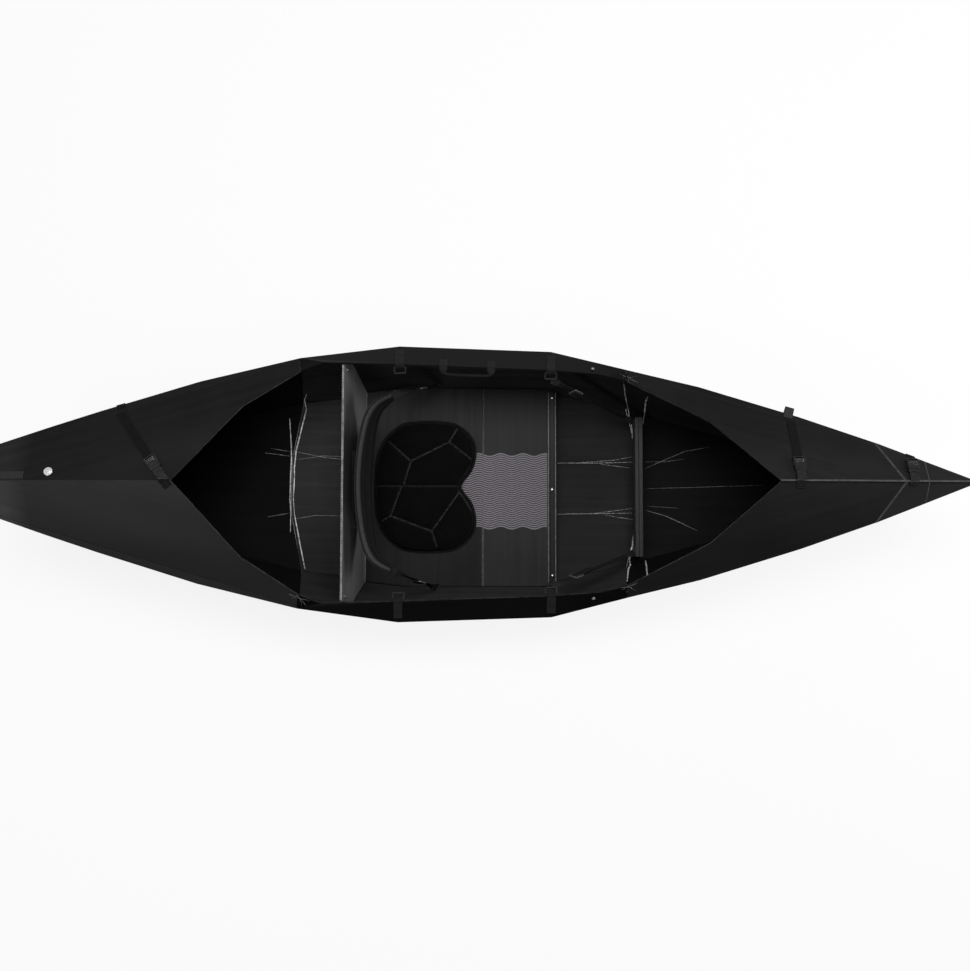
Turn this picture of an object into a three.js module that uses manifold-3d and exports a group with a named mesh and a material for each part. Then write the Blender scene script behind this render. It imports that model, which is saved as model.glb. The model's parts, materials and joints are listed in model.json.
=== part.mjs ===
// Folding kayak of creased twin-wall board, in millimetres.
// X runs to the bow, Y to port and Z up. The origin is on the ground, amidships, on the centreline.

import * as THREE from "three";
import { mergeVertices } from "three/addons/utils/BufferGeometryUtils.js";
import Module from "manifold-3d";

const wasm = await Module();
wasm.setup();

const V = (x, y, z) => new THREE.Vector3(x, y, z);

// Driving dimensions of the hull
const SHEET = 5;
const CREASE_INSET = 0.25;
const FLAP_END_INSET = 1;
const KEEL_HALF_WIDTH = 82;
const BILGE_SLOPE = 0.101;
const AFT_CREASE_X = -597;
const FORE_CREASE_X = 484;
const BOW_TIP = V(1367, 0, 345);
const KEEL_END = V(1180, 0, 95);
const TRANSOM_FOOT = { x: -1290, halfWidth: 70, z: 65 };
const STERN_CORNER = { x: -1368, y: 102 };
const TRANSOM_NOTCH_X = -1346;
const HINGE_INBOARD = 9;

// Driving dimensions of what is fitted inside
const FLOOR_TOP = 50;
const FLOOR_FOLD_X = -3;
const FLOOR_REAR_X = -359;
const FLOOR_FRONT_X = 221;
const FOLD_GAP = 0.3;
const SEAT_HEIGHT = 40;
const WEBBING = { wide: 25, thick: 1.5 };

// Colours of the materials
const BOARD_COLOUR = 0x1b1b1c;
const FLOOR_COLOUR = 0x3a3a3b;
const FOAM_COLOUR = 0x242425;
const WEBBING_COLOUR = 0x101011;
const PLASTIC_COLOUR = 0x161617;
const METAL_COLOUR = 0xb9bbbd;

const kayak = new THREE.Group();

function look(colour, roughness = 0.6, metalness = 0) {
  return new THREE.MeshStandardMaterial({ color: colour, roughness, metalness });
}

function add(name, geometry, material, placing) {
  const mesh = new THREE.Mesh(geometry, material);
  mesh.name = name;
  if (placing) mesh.applyMatrix4(placing);
  kayak.add(mesh);
  return mesh;
}

// Solids made of triangles, joined and cut

function closedGeometry(corners, triangles) {
  const geometry = new THREE.BufferGeometry();
  const values = corners.flatMap((p) => [p.x, p.y, p.z]);
  geometry.setAttribute("position", new THREE.Float32BufferAttribute(values, 3));
  geometry.setIndex(triangles.flat());
  return geometry;
}

function solid(geometry) {
  const bare = geometry.clone();
  bare.deleteAttribute("normal");
  bare.deleteAttribute("uv");
  const merged = mergeVertices(bare, 1e-4);
  return new wasm.Manifold(
    new wasm.Mesh({
      numProp: 3,
      vertProperties: new Float32Array(merged.attributes.position.array),
      triVerts: new Uint32Array(merged.index.array),
    }),
  );
}

function fromSolid(body) {
  const mesh = body.getMesh();
  const geometry = new THREE.BufferGeometry();
  geometry.setAttribute("position", new THREE.BufferAttribute(mesh.vertProperties, 3));
  geometry.setIndex(new THREE.BufferAttribute(mesh.triVerts, 1));
  return geometry;
}

// A body skinned over rings of equal size, each a list of points, with flat ends.
function loft(rings) {
  const count = rings[0].length;
  const corners = rings.flat();
  const triangles = [];
  for (let r = 0; r + 1 < rings.length; r++) {
    for (let i = 0; i < count; i++) {
      const a = r * count + i;
      const b = r * count + ((i + 1) % count);
      triangles.push([a, b, b + count], [a, b + count, a + count]);
    }
  }
  const last = (rings.length - 1) * count;
  for (let i = 1; i + 1 < count; i++) {
    triangles.push([0, i + 1, i], [last, last + i, last + i + 1]);
  }
  const geometry = closedGeometry(corners, triangles);
  if (solid(geometry).volume() > 0) return geometry;
  return closedGeometry(corners, triangles.map(([a, b, c]) => [a, c, b]));
}

// Webbing along a path: a flat section whose width lies along one given direction.
function ribbon(path, across, thick = WEBBING.thick, wide = WEBBING.wide) {
  const half = across.clone().normalize().multiplyScalar(wide / 2);
  const rings = path.map((point, i) => {
    const before = i > 0 ? point.clone().sub(path[i - 1]).normalize() : null;
    const after = i + 1 < path.length ? path[i + 1].clone().sub(point).normalize() : null;
    const along = (before ?? after).clone().add(after ?? before).normalize();
    const bend = before && after ? along.dot(after) : 1;
    const up = along.clone().cross(half).normalize().multiplyScalar(thick / 2 / bend);
    return [
      point.clone().add(half).add(up),
      point.clone().sub(half).add(up),
      point.clone().sub(half).sub(up),
      point.clone().add(half).sub(up),
    ];
  });
  return loft(rings);
}

// A placing whose local X, Y and Z are heading, left and normal.
function placing(origin, heading, normal) {
  const up = normal.clone().normalize();
  const along = heading.clone().addScaledVector(up, -heading.dot(up)).normalize();
  const left = up.clone().cross(along);
  return new THREE.Matrix4().makeBasis(along, left, up).setPosition(origin);
}

function plate(outline, thick, holes = []) {
  const shape = new THREE.Shape(outline.map(([x, y]) => new THREE.Vector2(x, y)));
  shape.holes = holes.map((hole) => new THREE.Path(hole.map(([x, y]) => new THREE.Vector2(x, y))));
  return new THREE.ExtrudeGeometry(shape, { depth: thick, bevelEnabled: false });
}

function rectangle(x0, y0, x1, y1, corner = 0) {
  if (!corner) return [[x0, y0], [x1, y0], [x1, y1], [x0, y1]];
  return [
    [x0 + corner, y0],
    [x1 - corner, y0],
    [x1, y0 + corner],
    [x1, y1 - corner],
    [x1 - corner, y1],
    [x0 + corner, y1],
    [x0, y1 - corner],
    [x0, y0 + corner],
  ];
}

function turned(profile, sides) {
  const geometry = new THREE.LatheGeometry(profile.map(([r, z]) => new THREE.Vector2(r, z)), sides);
  return geometry.rotateX(Math.PI / 2);
}

// Deck planes: each flap lies in a plane through the cockpit shoulder, the far gunwale corner and the
// cockpit apex.

function deckPlane(shoulder, corner, apex) {
  const plane = new THREE.Plane().setFromCoplanarPoints(shoulder, corner, apex);
  if (plane.normal.z < 0) plane.negate();
  return plane;
}

function onDeck(plane, x, y) {
  const n = plane.normal;
  return V(x, y, -(plane.constant + n.x * x + n.y * y) / n.z);
}

const bowDeck = deckPlane(V(405, 325, 262), V(1095, 113, 315), V(810, 0, 375));
const sternDeck = deckPlane(V(-528, 357, 258), V(-1366, 102, 300), V(-861, 0, 355));

function towards(from, to, distance) {
  return from.clone().add(to.clone().sub(from).setLength(distance));
}

// Corners of the hull on its port side and on its centreline
const onBilge = (x, y) => V(x, y, (y - KEEL_HALF_WIDTH) * BILGE_SLOPE);
const corner = {
  keelAft: onBilge(AFT_CREASE_X, KEEL_HALF_WIDTH),
  keelFore: onBilge(FORE_CREASE_X, KEEL_HALF_WIDTH),
  keelForeCentre: V(FORE_CREASE_X, 0, 0),
  chineAft: onBilge(-560, 262),
  chineSternward: onBilge(-244, 300),
  chineBowward: onBilge(192, 300),
  chineFore: onBilge(440, 240),
  bowDiagonal: V(765, 150, 30),
  keelEnd: KEEL_END,
  tip: BOW_TIP,
  gunwaleAft: onDeck(sternDeck, -528, 357),
  gunwaleSternward: V(-245, 398, 225),
  gunwaleBowward: V(193, 383, 225),
  gunwaleFore: onDeck(bowDeck, 408, 324),
  gunwaleBowA: onDeck(bowDeck, 610, 274),
  gunwaleBowB: onDeck(bowDeck, 886, 186),
  gunwaleNose: onDeck(bowDeck, 1089, 113),
  gunwaleSternA: onDeck(sternDeck, -808, 288),
  gunwaleSternB: onDeck(sternDeck, -1085, 200),
  gunwaleSternC: onDeck(sternDeck, -1224, 153),
  sternCorner: onDeck(sternDeck, STERN_CORNER.x, STERN_CORNER.y),
  rimShoulderAft: onDeck(sternDeck, -522, 318),
  rimAft: V(-455, 340, 290),
  rimSternward: V(-239, 334, 295),
  rimBowward: V(189, 318, 295),
  rimFore: V(325, 308, 285),
  rimShoulderFore: onDeck(bowDeck, 405, 290),
  kinkBow: onDeck(bowDeck, 630, 169),
  apexBow: onDeck(bowDeck, 810, 0),
  seamNose: onDeck(bowDeck, 1160, 0),
  kinkStern: onDeck(sternDeck, -677, 213),
  apexStern: onDeck(sternDeck, -861, 0),
  seamStern: onDeck(sternDeck, TRANSOM_NOTCH_X, 0),
  transomFoot: V(TRANSOM_FOOT.x, TRANSOM_FOOT.halfWidth, TRANSOM_FOOT.z),
  transomFootCentre: V(TRANSOM_FOOT.x, 0, TRANSOM_FOOT.z),
};
corner.hingeBowAft = towards(corner.gunwaleFore, corner.rimShoulderFore, HINGE_INBOARD);
corner.hingeBowFore = towards(corner.gunwaleNose, corner.seamNose, HINGE_INBOARD);
corner.hingeSternFore = towards(corner.gunwaleAft, corner.rimShoulderAft, HINGE_INBOARD);
corner.hingeSternAft = towards(corner.sternCorner, corner.seamStern, HINGE_INBOARD);

// Plates of the hull sheet, port side: the corners of every flat face, in order round it
const pairedPlates = {
  hull_side: [
    ["chineAft", "chineSternward", "gunwaleSternward", "gunwaleAft"],
    ["chineSternward", "chineBowward", "gunwaleBowward", "gunwaleSternward"],
    ["chineBowward", "chineFore", "gunwaleFore", "gunwaleBowward"],
  ],
  gunwale_fold: [
    ["gunwaleAft", "gunwaleSternward", "rimSternward", "rimAft"],
    ["gunwaleAft", "rimAft", "hingeSternFore"],
    ["hingeSternFore", "rimAft", "rimShoulderAft"],
    ["gunwaleSternward", "gunwaleBowward", "rimBowward", "rimSternward"],
    ["gunwaleBowward", "gunwaleFore", "rimFore", "rimBowward"],
    ["gunwaleFore", "hingeBowAft", "rimFore"],
    ["hingeBowAft", "rimShoulderFore", "rimFore"],
  ],
  bow_side: [
    ["chineFore", "bowDiagonal", "gunwaleBowA", "gunwaleFore"],
    ["bowDiagonal", "gunwaleBowB", "gunwaleBowA"],
    ["bowDiagonal", "keelEnd", "gunwaleNose", "gunwaleBowB"],
    ["keelEnd", "tip", "gunwaleNose"],
    ["hingeBowAft", "gunwaleFore", "gunwaleBowA", "gunwaleBowB", "gunwaleNose", "hingeBowFore"],
  ],
  bow_deck: [["hingeBowAft", "hingeBowFore", "seamNose", "apexBow", "kinkBow", "rimShoulderFore"]],
  bow_nose_deck: [
    ["gunwaleNose", "tip", "hingeBowFore"],
    ["hingeBowFore", "tip", "seamNose"],
  ],
  stern_side: [
    ["chineAft", "gunwaleAft", "gunwaleSternA"],
    ["chineAft", "gunwaleSternA", "transomFoot"],
    ["transomFoot", "gunwaleSternA", "gunwaleSternB"],
    ["transomFoot", "gunwaleSternB", "gunwaleSternC"],
    ["transomFoot", "gunwaleSternC", "sternCorner"],
    ["hingeSternFore", "gunwaleAft", "gunwaleSternA", "gunwaleSternB", "gunwaleSternC", "sternCorner",
      "hingeSternAft"],
  ],
  stern_deck: [
    ["hingeSternFore", "hingeSternAft", "seamStern", "apexStern", "kinkStern", "rimShoulderAft"],
  ],
};
const centrePlates = {
  hull_bottom: [
    ["keelAft", "keelFore", "keelForeCentre", "keelAftCentre"],
    ["keelAft", "keelFore", "chineFore", "chineBowward", "chineSternward", "chineAft"],
  ],
  bow_bottom: [
    ["keelForeCentre", "keelFore", "bowDiagonal"],
    ["keelForeCentre", "bowDiagonal", "keelEnd"],
    ["keelFore", "chineFore", "bowDiagonal"],
  ],
  stern_bottom: [
    ["keelAft", "transomFoot", "transomFootCentre", "keelAftCentre"],
    ["keelAft", "chineAft", "transomFoot"],
  ],
  transom: [
    ["transomFoot", "sternCorner", "hingeSternAft"],
    ["transomFoot", "hingeSternAft", "seamStern"],
    ["transomFoot", "seamStern", "transomFootCentre"],
  ],
};
corner.keelAftCentre = V(AFT_CREASE_X, 0, 0);

// A point of the boat's inside near a face, from which the face's normal must point away.
function insidePoint(centre) {
  return V(THREE.MathUtils.clamp(centre.x, -1150, 1150), 0, 180);
}

// One face as triangles of points that run anticlockwise seen from outside
function faceTriangles(points) {
  const normal = V(0, 0, 0);
  const centre = V(0, 0, 0);
  points.forEach((p, i) => {
    const q = points[(i + 1) % points.length];
    normal.add(p.clone().cross(q));
    centre.addScaledVector(p, 1 / points.length);
  });
  const ring = normal.dot(centre.clone().sub(insidePoint(centre))) < 0 ? [...points].reverse() : points;
  const toPlane = placing(V(0, 0, 0), ring[1].clone().sub(ring[0]), normal).invert();
  const flat = points.map((p) => p.clone().applyMatrix4(toPlane)).map((p) => new THREE.Vector2(p.x, p.y));
  const order = ring === points ? flat : [...flat].reverse();
  const outward = ring === points ? normal : normal.clone().negate();
  return THREE.ShapeUtils.triangulateShape(order, []).map((triangle) => {
    const [a, b, c] = triangle.map((i) => ring[i]);
    const turn = b.clone().sub(a).cross(c.clone().sub(a));
    return turn.dot(outward) > 0 ? [a, b, c] : [a, c, b];
  });
}

const mirrored = new Map();
function mirror(point) {
  if (point.y === 0) return point;
  if (!mirrored.has(point)) mirrored.set(point, V(point.x, -point.y, point.z));
  return mirrored.get(point);
}

const plates = new Map();
for (const [name, faces] of Object.entries(pairedPlates)) {
  const port = faces.map((names) => names.map((key) => corner[key]));
  plates.set(name + "_port", port.flatMap(faceTriangles));
  plates.set(name + "_starboard", port.map((points) => points.map(mirror)).flatMap(faceTriangles));
}
for (const [name, faces] of Object.entries(centrePlates)) {
  const port = faces.map((names) => names.map((key) => corner[key]));
  const starboard = port.map((points) => points.map(mirror));
  plates.set(name, [...port, ...starboard].flatMap(faceTriangles));
}

function triangleNormal([a, b, c]) {
  return b.clone().sub(a).cross(c.clone().sub(a)).normalize();
}

// Normals of every plate face that meets a corner, each direction once
const cornerNormals = new Map();
for (const triangle of [...plates.values()].flat()) {
  const normal = triangleNormal(triangle);
  for (const point of triangle) {
    const known = cornerNormals.get(point) ?? [];
    if (!known.some((n) => n.dot(normal) > 0.9995)) known.push(normal);
    cornerNormals.set(point, known);
  }
}

// The step from a corner of the outer surface to the inner surface: it is mitred, so it lies one
// sheet below every face that meets there. Where many creases meet, it is the best fit.
const MITRE_DAMPING = 0.004;
function mitre(point) {
  const normals = cornerNormals.get(point);
  const sums = new THREE.Matrix3().set(0, 0, 0, 0, 0, 0, 0, 0, 0);
  const e = sums.elements;
  const total = V(0, 0, 0);
  for (const n of normals) {
    const axis = [n.x, n.y, n.z];
    for (let i = 0; i < 3; i++) {
      for (let j = 0; j < 3; j++) e[3 * j + i] += axis[i] * axis[j];
    }
    total.add(n);
  }
  for (let i = 0; i < 3; i++) e[4 * i] += MITRE_DAMPING;
  return total.applyMatrix3(sums.invert()).multiplyScalar(-SHEET);
}

// The cut ends of the deck flaps and of the folds beside them stand further apart than creases do,
// so that a flap can open past the fold.
const flapEnds = [corner.hingeBowAft, corner.rimShoulderFore, corner.hingeSternFore, corner.rimShoulderAft];
const looseCorners = new Set([...flapEnds, ...flapEnds.map(mirror)]);

// The step that sets a corner back from its two edges
function setBack([first, second]) {
  const across = first.way.dot(second.way);
  if (across > 0.9999) return first.way.clone().multiplyScalar(Math.max(first.inset, second.inset));
  const scale = 1 / (1 - across * across);
  const step = first.way.clone().multiplyScalar((first.inset - across * second.inset) * scale);
  return step.addScaledVector(second.way, (second.inset - across * first.inset) * scale);
}

// One plate of the hull sheet: its outer faces, the same faces one sheet further in, and its cut edges
function hullPlate(triangles) {
  const points = [...new Set(triangles.flat())];
  const index = new Map(points.map((p, i) => [p, i]));
  const edges = new Map();
  for (const triangle of triangles) {
    const normal = triangleNormal(triangle);
    triangle.forEach((p, i) => {
      const q = triangle[(i + 1) % 3];
      const back = index.get(q) + "," + index.get(p);
      if (edges.has(back)) edges.delete(back);
      else edges.set(index.get(p) + "," + index.get(q), { p, q, normal });
    });
  }
  const edgesAt = new Map(points.map((p) => [p, []]));
  for (const { p, q, normal } of edges.values()) {
    const way = normal.clone().cross(q.clone().sub(p)).normalize();
    const inset = looseCorners.has(p) && looseCorners.has(q) ? FLAP_END_INSET : CREASE_INSET;
    edgesAt.get(p).push({ way, inset });
    edgesAt.get(q).push({ way, inset });
  }
  const outer = points.map((p) => {
    const ends = edgesAt.get(p);
    return ends.length < 2 ? p.clone() : p.clone().add(setBack(ends));
  });
  const inner = outer.map((p, i) => p.clone().add(mitre(points[i])));
  const n = points.length;
  const faces = [];
  for (const triangle of triangles) {
    const [a, b, c] = triangle.map((p) => index.get(p));
    faces.push([a, b, c], [a + n, c + n, b + n]);
  }
  for (const { p, q } of edges.values()) {
    const [a, b] = [index.get(p), index.get(q)];
    if (p.x + p.z < q.x + q.z) faces.push([b, a, a + n], [b, a + n, b + n]);
    else faces.push([b, a, b + n], [a, a + n, b + n]);
  }
  return closedGeometry([...outer, ...inner], faces);
}

const board = look(BOARD_COLOUR, 0.5);
const floorBoard = look(FLOOR_COLOUR, 0.5);
const foam = look(FOAM_COLOUR, 0.9);
const webbing = look(WEBBING_COLOUR, 0.85);
const plastic = look(PLASTIC_COLOUR, 0.35);
const metal = look(METAL_COLOUR, 0.3, 1);

// The same piece on the other side of the boat
function mirroredCopy(geometry) {
  const copy = geometry.clone().applyMatrix4(new THREE.Matrix4().makeScale(1, -1, 1));
  const order = copy.index ? [...copy.index.array] : [...Array(copy.attributes.position.count).keys()];
  for (let i = 0; i < order.length; i += 3) [order[i], order[i + 1]] = [order[i + 1], order[i]];
  return copy.setIndex(order);
}

function addPair(name, geometry, material) {
  add(name + "_port", geometry, material);
  add(name + "_starboard", mirroredCopy(geometry), material);
}

function fused(...geometries) {
  return fromSolid(geometries.map(solid).reduce((body, next) => body.add(next)));
}

function cut(geometry, ...tools) {
  return fromSolid(tools.map(solid).reduce((body, tool) => body.subtract(tool), solid(geometry)));
}

function box(x0, x1, y0, y1, z0, z1) {
  const geometry = new THREE.BoxGeometry(x1 - x0, y1 - y0, z1 - z0);
  return geometry.translate((x0 + x1) / 2, (y0 + y1) / 2, (z0 + z1) / 2);
}

// Rivets have a domed head and a short shank, which sits in the sheet that they hold.
const RIVET = { radius: 6, dome: 3, shank: 2 };
function rivet(place, outward) {
  const { radius, dome, shank } = RIVET;
  const profile = [[0, -shank], [radius, -shank], [radius, 0.8], [radius * 0.72, dome * 0.75], [0, dome]];
  return turned(profile, 12).applyMatrix4(placing(place, sideways(outward), outward));
}

function sideways(normal) {
  return Math.abs(normal.x) < 0.8 ? V(1, 0, 0) : V(0, 1, 0);
}

function faceOf(a, b, c, outboard) {
  const plane = new THREE.Plane().setFromCoplanarPoints(a, b, c);
  if (plane.normal.dot(outboard) < 0) plane.negate();
  return plane;
}

function pointOn(plane, x, y, lift = 0) {
  return onDeck(plane, x, y).addScaledVector(plane.normal, lift);
}

// Hull sheet, with the rivets that hold its gunwale folds
const foreFold = faceOf(corner.gunwaleBowward, corner.rimFore, corner.gunwaleFore, V(0, 1, 1));
const foldRivet = rivet(pointOn(foreFold, 309, 325), foreFold.normal);
for (const [name, triangles] of plates) {
  let sheet = hullPlate(triangles);
  if (name === "gunwale_fold_port") sheet = fused(sheet, foldRivet);
  if (name === "gunwale_fold_starboard") sheet = fused(sheet, mirroredCopy(foldRivet));
  add(name, sheet, board);
}

// Floor: two boards wedged between the sides, joined by a fold, with a riveted rail on the front edge
const FLOOR_HALF = { rear: 289, middle: 303, front: 294 };
const floorOutline = (points) => [...points, ...[...points].reverse().map(([x, y]) => [x, -y])];
const rearFloor = floorOutline([
  [FLOOR_REAR_X, FLOOR_HALF.rear],
  [-244, FLOOR_HALF.middle],
  [FLOOR_FOLD_X - FOLD_GAP / 2, FLOOR_HALF.middle],
]);
const frontFloor = floorOutline([
  [FLOOR_FOLD_X + FOLD_GAP / 2, FLOOR_HALF.middle],
  [190, FLOOR_HALF.middle - 1],
  [FLOOR_FRONT_X, FLOOR_HALF.front],
]);
add("floorboard_rear", plate(rearFloor, SHEET).translate(0, 0, FLOOR_TOP - SHEET), floorBoard);
add("floorboard_front", plate(frontFloor, SHEET).translate(0, 0, FLOOR_TOP - SHEET), floorBoard);

const RAIL = { x: 208, halfWide: 12, halfLong: 290, flange: 2.4, crown: 3, crownHalf: 5 };
const RAIL_RIVETS_Y = [273, -8, -270];
function railProfile() {
  const { halfWide, flange, crown, crownHalf } = RAIL;
  return [
    [-halfWide, 0],
    [halfWide, 0],
    [halfWide, flange],
    [crownHalf + 1, flange],
    [crownHalf, flange + crown],
    [-crownHalf, flange + crown],
    [-crownHalf - 1, flange],
    [-halfWide, flange],
  ];
}
const railFoot = FLOOR_TOP + 0.3;
const rail = plate(railProfile(), 2 * RAIL.halfLong).applyMatrix4(
  placing(V(RAIL.x, RAIL.halfLong, railFoot), V(1, 0, 0), V(0, -1, 0)),
);
const railTop = railFoot + RAIL.flange + RAIL.crown;
const railRivets = RAIL_RIVETS_Y.map((y) => rivet(V(RAIL.x, y, railTop), V(0, 0, 1)));
add("floor_rail", fused(rail, ...railRivets), plastic);

// Rear panel: leans aft behind the floor and wedges under the gunwale folds
const PANEL = {
  foot: 46,
  lean: THREE.MathUtils.degToRad(8.9),
  shoulderHalf: 365,
  shoulderZ: 234,
  topHalf: 332,
  topZ: 286,
  rivetY: 322,
  rivetZ: 262,
  gap: 0.4,
};
const panelUp = (z) => (z - PANEL.foot) / Math.cos(PANEL.lean);
const panelOutline = [
  [-FLOOR_HALF.rear + 1, 0],
  [FLOOR_HALF.rear - 1, 0],
  [PANEL.shoulderHalf, panelUp(PANEL.shoulderZ)],
  [PANEL.topHalf, panelUp(PANEL.topZ)],
  [-PANEL.topHalf, panelUp(PANEL.topZ)],
  [-PANEL.shoulderHalf, panelUp(PANEL.shoulderZ)],
];
const panelFront = V(Math.cos(PANEL.lean), 0, Math.sin(PANEL.lean));
const panelBackX = FLOOR_REAR_X - PANEL.gap - SHEET / Math.cos(PANEL.lean);
const panelPlace = placing(V(panelBackX, 0, PANEL.foot), V(0, 1, 0), panelFront);
const panelRivets = [-1, 1].map((side) =>
  rivet(V(side * PANEL.rivetY, panelUp(PANEL.rivetZ), SHEET).applyMatrix4(panelPlace), panelFront),
);
add("rear_panel", fused(plate(panelOutline, SHEET).applyMatrix4(panelPlace), ...panelRivets), board);

// Seat pad: a lobed cushion with a notch in front, crowned, drawn in at its foot and sewn in channels
const SEAT_CENTRE = [-180, 0];
const SEAT_EDGE = [
  [-76, 0], [-66, 22], [-42, 55], [-31, 100], [-40, 145], [-84, 184], [-140, 194], [-200, 194],
  [-252, 184], [-300, 142], [-324, 80], [-329, 0],
];
const SEAT_LEVELS = [
  [0.955, 0], [0.985, 0.14], [1, 0.42], [0.985, 0.7], [0.95, 0.86], [0.89, 0.95], [0.8, 0.985],
  [0.69, 1], [0.57, 0.995], [0.44, 0.985], [0.3, 0.975], [0.15, 0.97],
];
const SEAT_SIDES = 76;
const CHANNEL = { deep: 6.5, halfWide: 13 };
const SEAT_CHANNELS = [
  [-290, 137, -221, 76], [-221, 76, -106, 134], [-106, 134, -79, 179], [-106, 134, -39, 83],
  [-221, 76, -242, 7], [-329, 0, -70, 0], [-251, -5, -281, -90], [-281, -90, -157, -136],
  [-157, -136, -76, -20], [-157, -136, -142, -183], [-281, -90, -305, -104], [-76, -14, -36, -75],
  [-70, 16, -39, 61],
];
function seatPad() {
  const half = new THREE.CatmullRomCurve3(SEAT_EDGE.map(([x, y]) => V(x, y, 0)));
  const edge = half.getSpacedPoints(SEAT_SIDES / 2);
  const round = [...edge, ...edge.slice(1, -1).reverse().map((p) => V(p.x, -p.y, 0))];
  const lines = SEAT_CHANNELS.map(([ax, ay, bx, by]) => new THREE.Line3(V(ax, ay, 0), V(bx, by, 0)));
  const foot = FLOOR_TOP + 0.3;
  const near = V(0, 0, 0);
  const channelDepth = (x, y, reach) => {
    const point = V(x, y, 0);
    const gaps = lines.map((line) => line.closestPointToPoint(point, true, near).distanceTo(point));
    const gap = Math.min(...gaps);
    return CHANNEL.deep * reach * Math.max(0, 1 - (gap / CHANNEL.halfWide) ** 2);
  };
  const corners = [];
  for (const [spread, rise] of SEAT_LEVELS) {
    for (const p of round) {
      const x = SEAT_CENTRE[0] + (p.x - SEAT_CENTRE[0]) * spread;
      const y = SEAT_CENTRE[1] + (p.y - SEAT_CENTRE[1]) * spread;
      const reach = THREE.MathUtils.smoothstep(rise, 0.6, 0.95);
      corners.push(V(x, y, foot + SEAT_HEIGHT * rise - channelDepth(x, y, reach)));
    }
  }
  const count = round.length;
  const triangles = [];
  for (let ring = 0; ring + 1 < SEAT_LEVELS.length; ring++) {
    for (let i = 0; i < count; i++) {
      const a = ring * count + i;
      const b = ring * count + ((i + 1) % count);
      triangles.push([a, b, b + count], [a, b + count, a + count]);
    }
  }
  const [cx, cy] = SEAT_CENTRE;
  const crown = corners.push(V(cx, cy, foot + 0.97 * SEAT_HEIGHT - channelDepth(cx, cy, 1))) - 1;
  const sole = corners.push(V(cx, cy, foot)) - 1;
  const last = (SEAT_LEVELS.length - 1) * count;
  for (let i = 0; i < count; i++) {
    const next = (i + 1) % count;
    triangles.push([last + i, last + next, crown], [next, i, sole]);
  }
  return closedGeometry(corners, triangles);
}
add("seat_pad", seatPad(), foam);

// Backrest: a padded band on two straps that hang from anchors on the hull's sides
const BACKREST_PATH = [V(-262, 246, 262), V(-311, 211, 243), V(-335, 140, 224), V(-346, 0, 214)];
const BACKREST = { halfThick: 12, halfHighMiddle: 75, halfHighEnd: 24, lean: 0.21, rings: 20, sides: 12 };
const BACKREST_AXIS = V(-140, 305, 75);
function backrestPad(path) {
  const { halfThick, halfHighMiddle, halfHighEnd, lean, rings, sides } = BACKREST;
  const stations = [];
  for (let i = 0; i <= rings; i++) {
    const t = i / rings;
    const centre = path.getPointAt(t);
    const tangent = path.getTangentAt(t);
    const aft = V(tangent.y, -tangent.x, 0).normalize();
    if (aft.x > 0) aft.negate();
    const up = V(0, 0, 1).addScaledVector(aft, lean).normalize();
    const middle = Math.sin(Math.PI * t) ** 0.7;
    const high = THREE.MathUtils.lerp(halfHighEnd, halfHighMiddle, middle);
    const thick = halfThick * (0.55 + 0.45 * Math.min(1, 8 * Math.min(t, 1 - t)));
    const ring = [];
    for (let k = 0; k < sides; k++) {
      const angle = (2 * Math.PI * k) / sides;
      const across = Math.sign(Math.cos(angle)) * Math.abs(Math.cos(angle)) ** 0.75 * thick;
      const along = Math.sign(Math.sin(angle)) * Math.abs(Math.sin(angle)) ** 0.6 * high;
      ring.push(centre.clone().addScaledVector(aft, across).addScaledVector(up, along));
    }
    stations.push(ring);
  }
  return loft(stations);
}
const otherHalf = BACKREST_PATH.slice(0, -1).reverse().map((p) => V(p.x, -p.y, p.z));
const backrestPath = new THREE.CatmullRomCurve3([...BACKREST_PATH, ...otherHalf]);
add("backrest_pad", backrestPad(backrestPath), foam);

// A strap that leaves its pad or ring, then runs straight to its anchor, with a ladder lock on it
const LADDER_LOCK = { long: 34, wide: 31, thick: 4, slotLong: 6 };
function ladderLock(strap, from, to, share, across) {
  const { long, wide, thick, slotLong } = LADDER_LOCK;
  const slotHalf = wide / 2 - 3;
  const slots = [-1, 1].map((side) => {
    const middle = (side * long) / 4;
    return box(middle - slotLong / 2, middle + slotLong / 2, -slotHalf, slotHalf, -1, thick + 1);
  });
  const body = cut(plate(rectangle(-long / 2, -wide / 2, long / 2, wide / 2, 3), thick), ...slots);
  const along = to.clone().sub(from).normalize();
  const up = along.clone().cross(across).normalize();
  if (up.z < 0) up.negate();
  const seat = from.clone().lerp(to, share).addScaledVector(up, WEBBING.thick / 2 + 0.3);
  return body.applyMatrix4(placing(seat, along, up));
}

const PAD_STRAP = { leaves: V(0.81, 0.58, 0.03).normalize(), gap: 1.2, bend: 16, lockShare: 0.55 };
const padEnd = BACKREST_PATH[0];
const padStrapFoot = padEnd.clone().addScaledVector(PAD_STRAP.leaves, PAD_STRAP.gap);
const padStrapBend = padEnd.clone().addScaledVector(PAD_STRAP.leaves, PAD_STRAP.bend);
const padStrap = [padStrapFoot, padStrapBend, BACKREST_AXIS];
const padStrapAcross = PAD_STRAP.leaves.clone().cross(BACKREST_AXIS.clone().sub(padStrapBend)).normalize();
addPair("backrest_strap", ribbon(padStrap, padStrapAcross), webbing);
addPair(
  "backrest_adjuster",
  ladderLock(padStrap, padStrapBend, BACKREST_AXIS, PAD_STRAP.lockShare, padStrapAcross),
  plastic,
);

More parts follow.
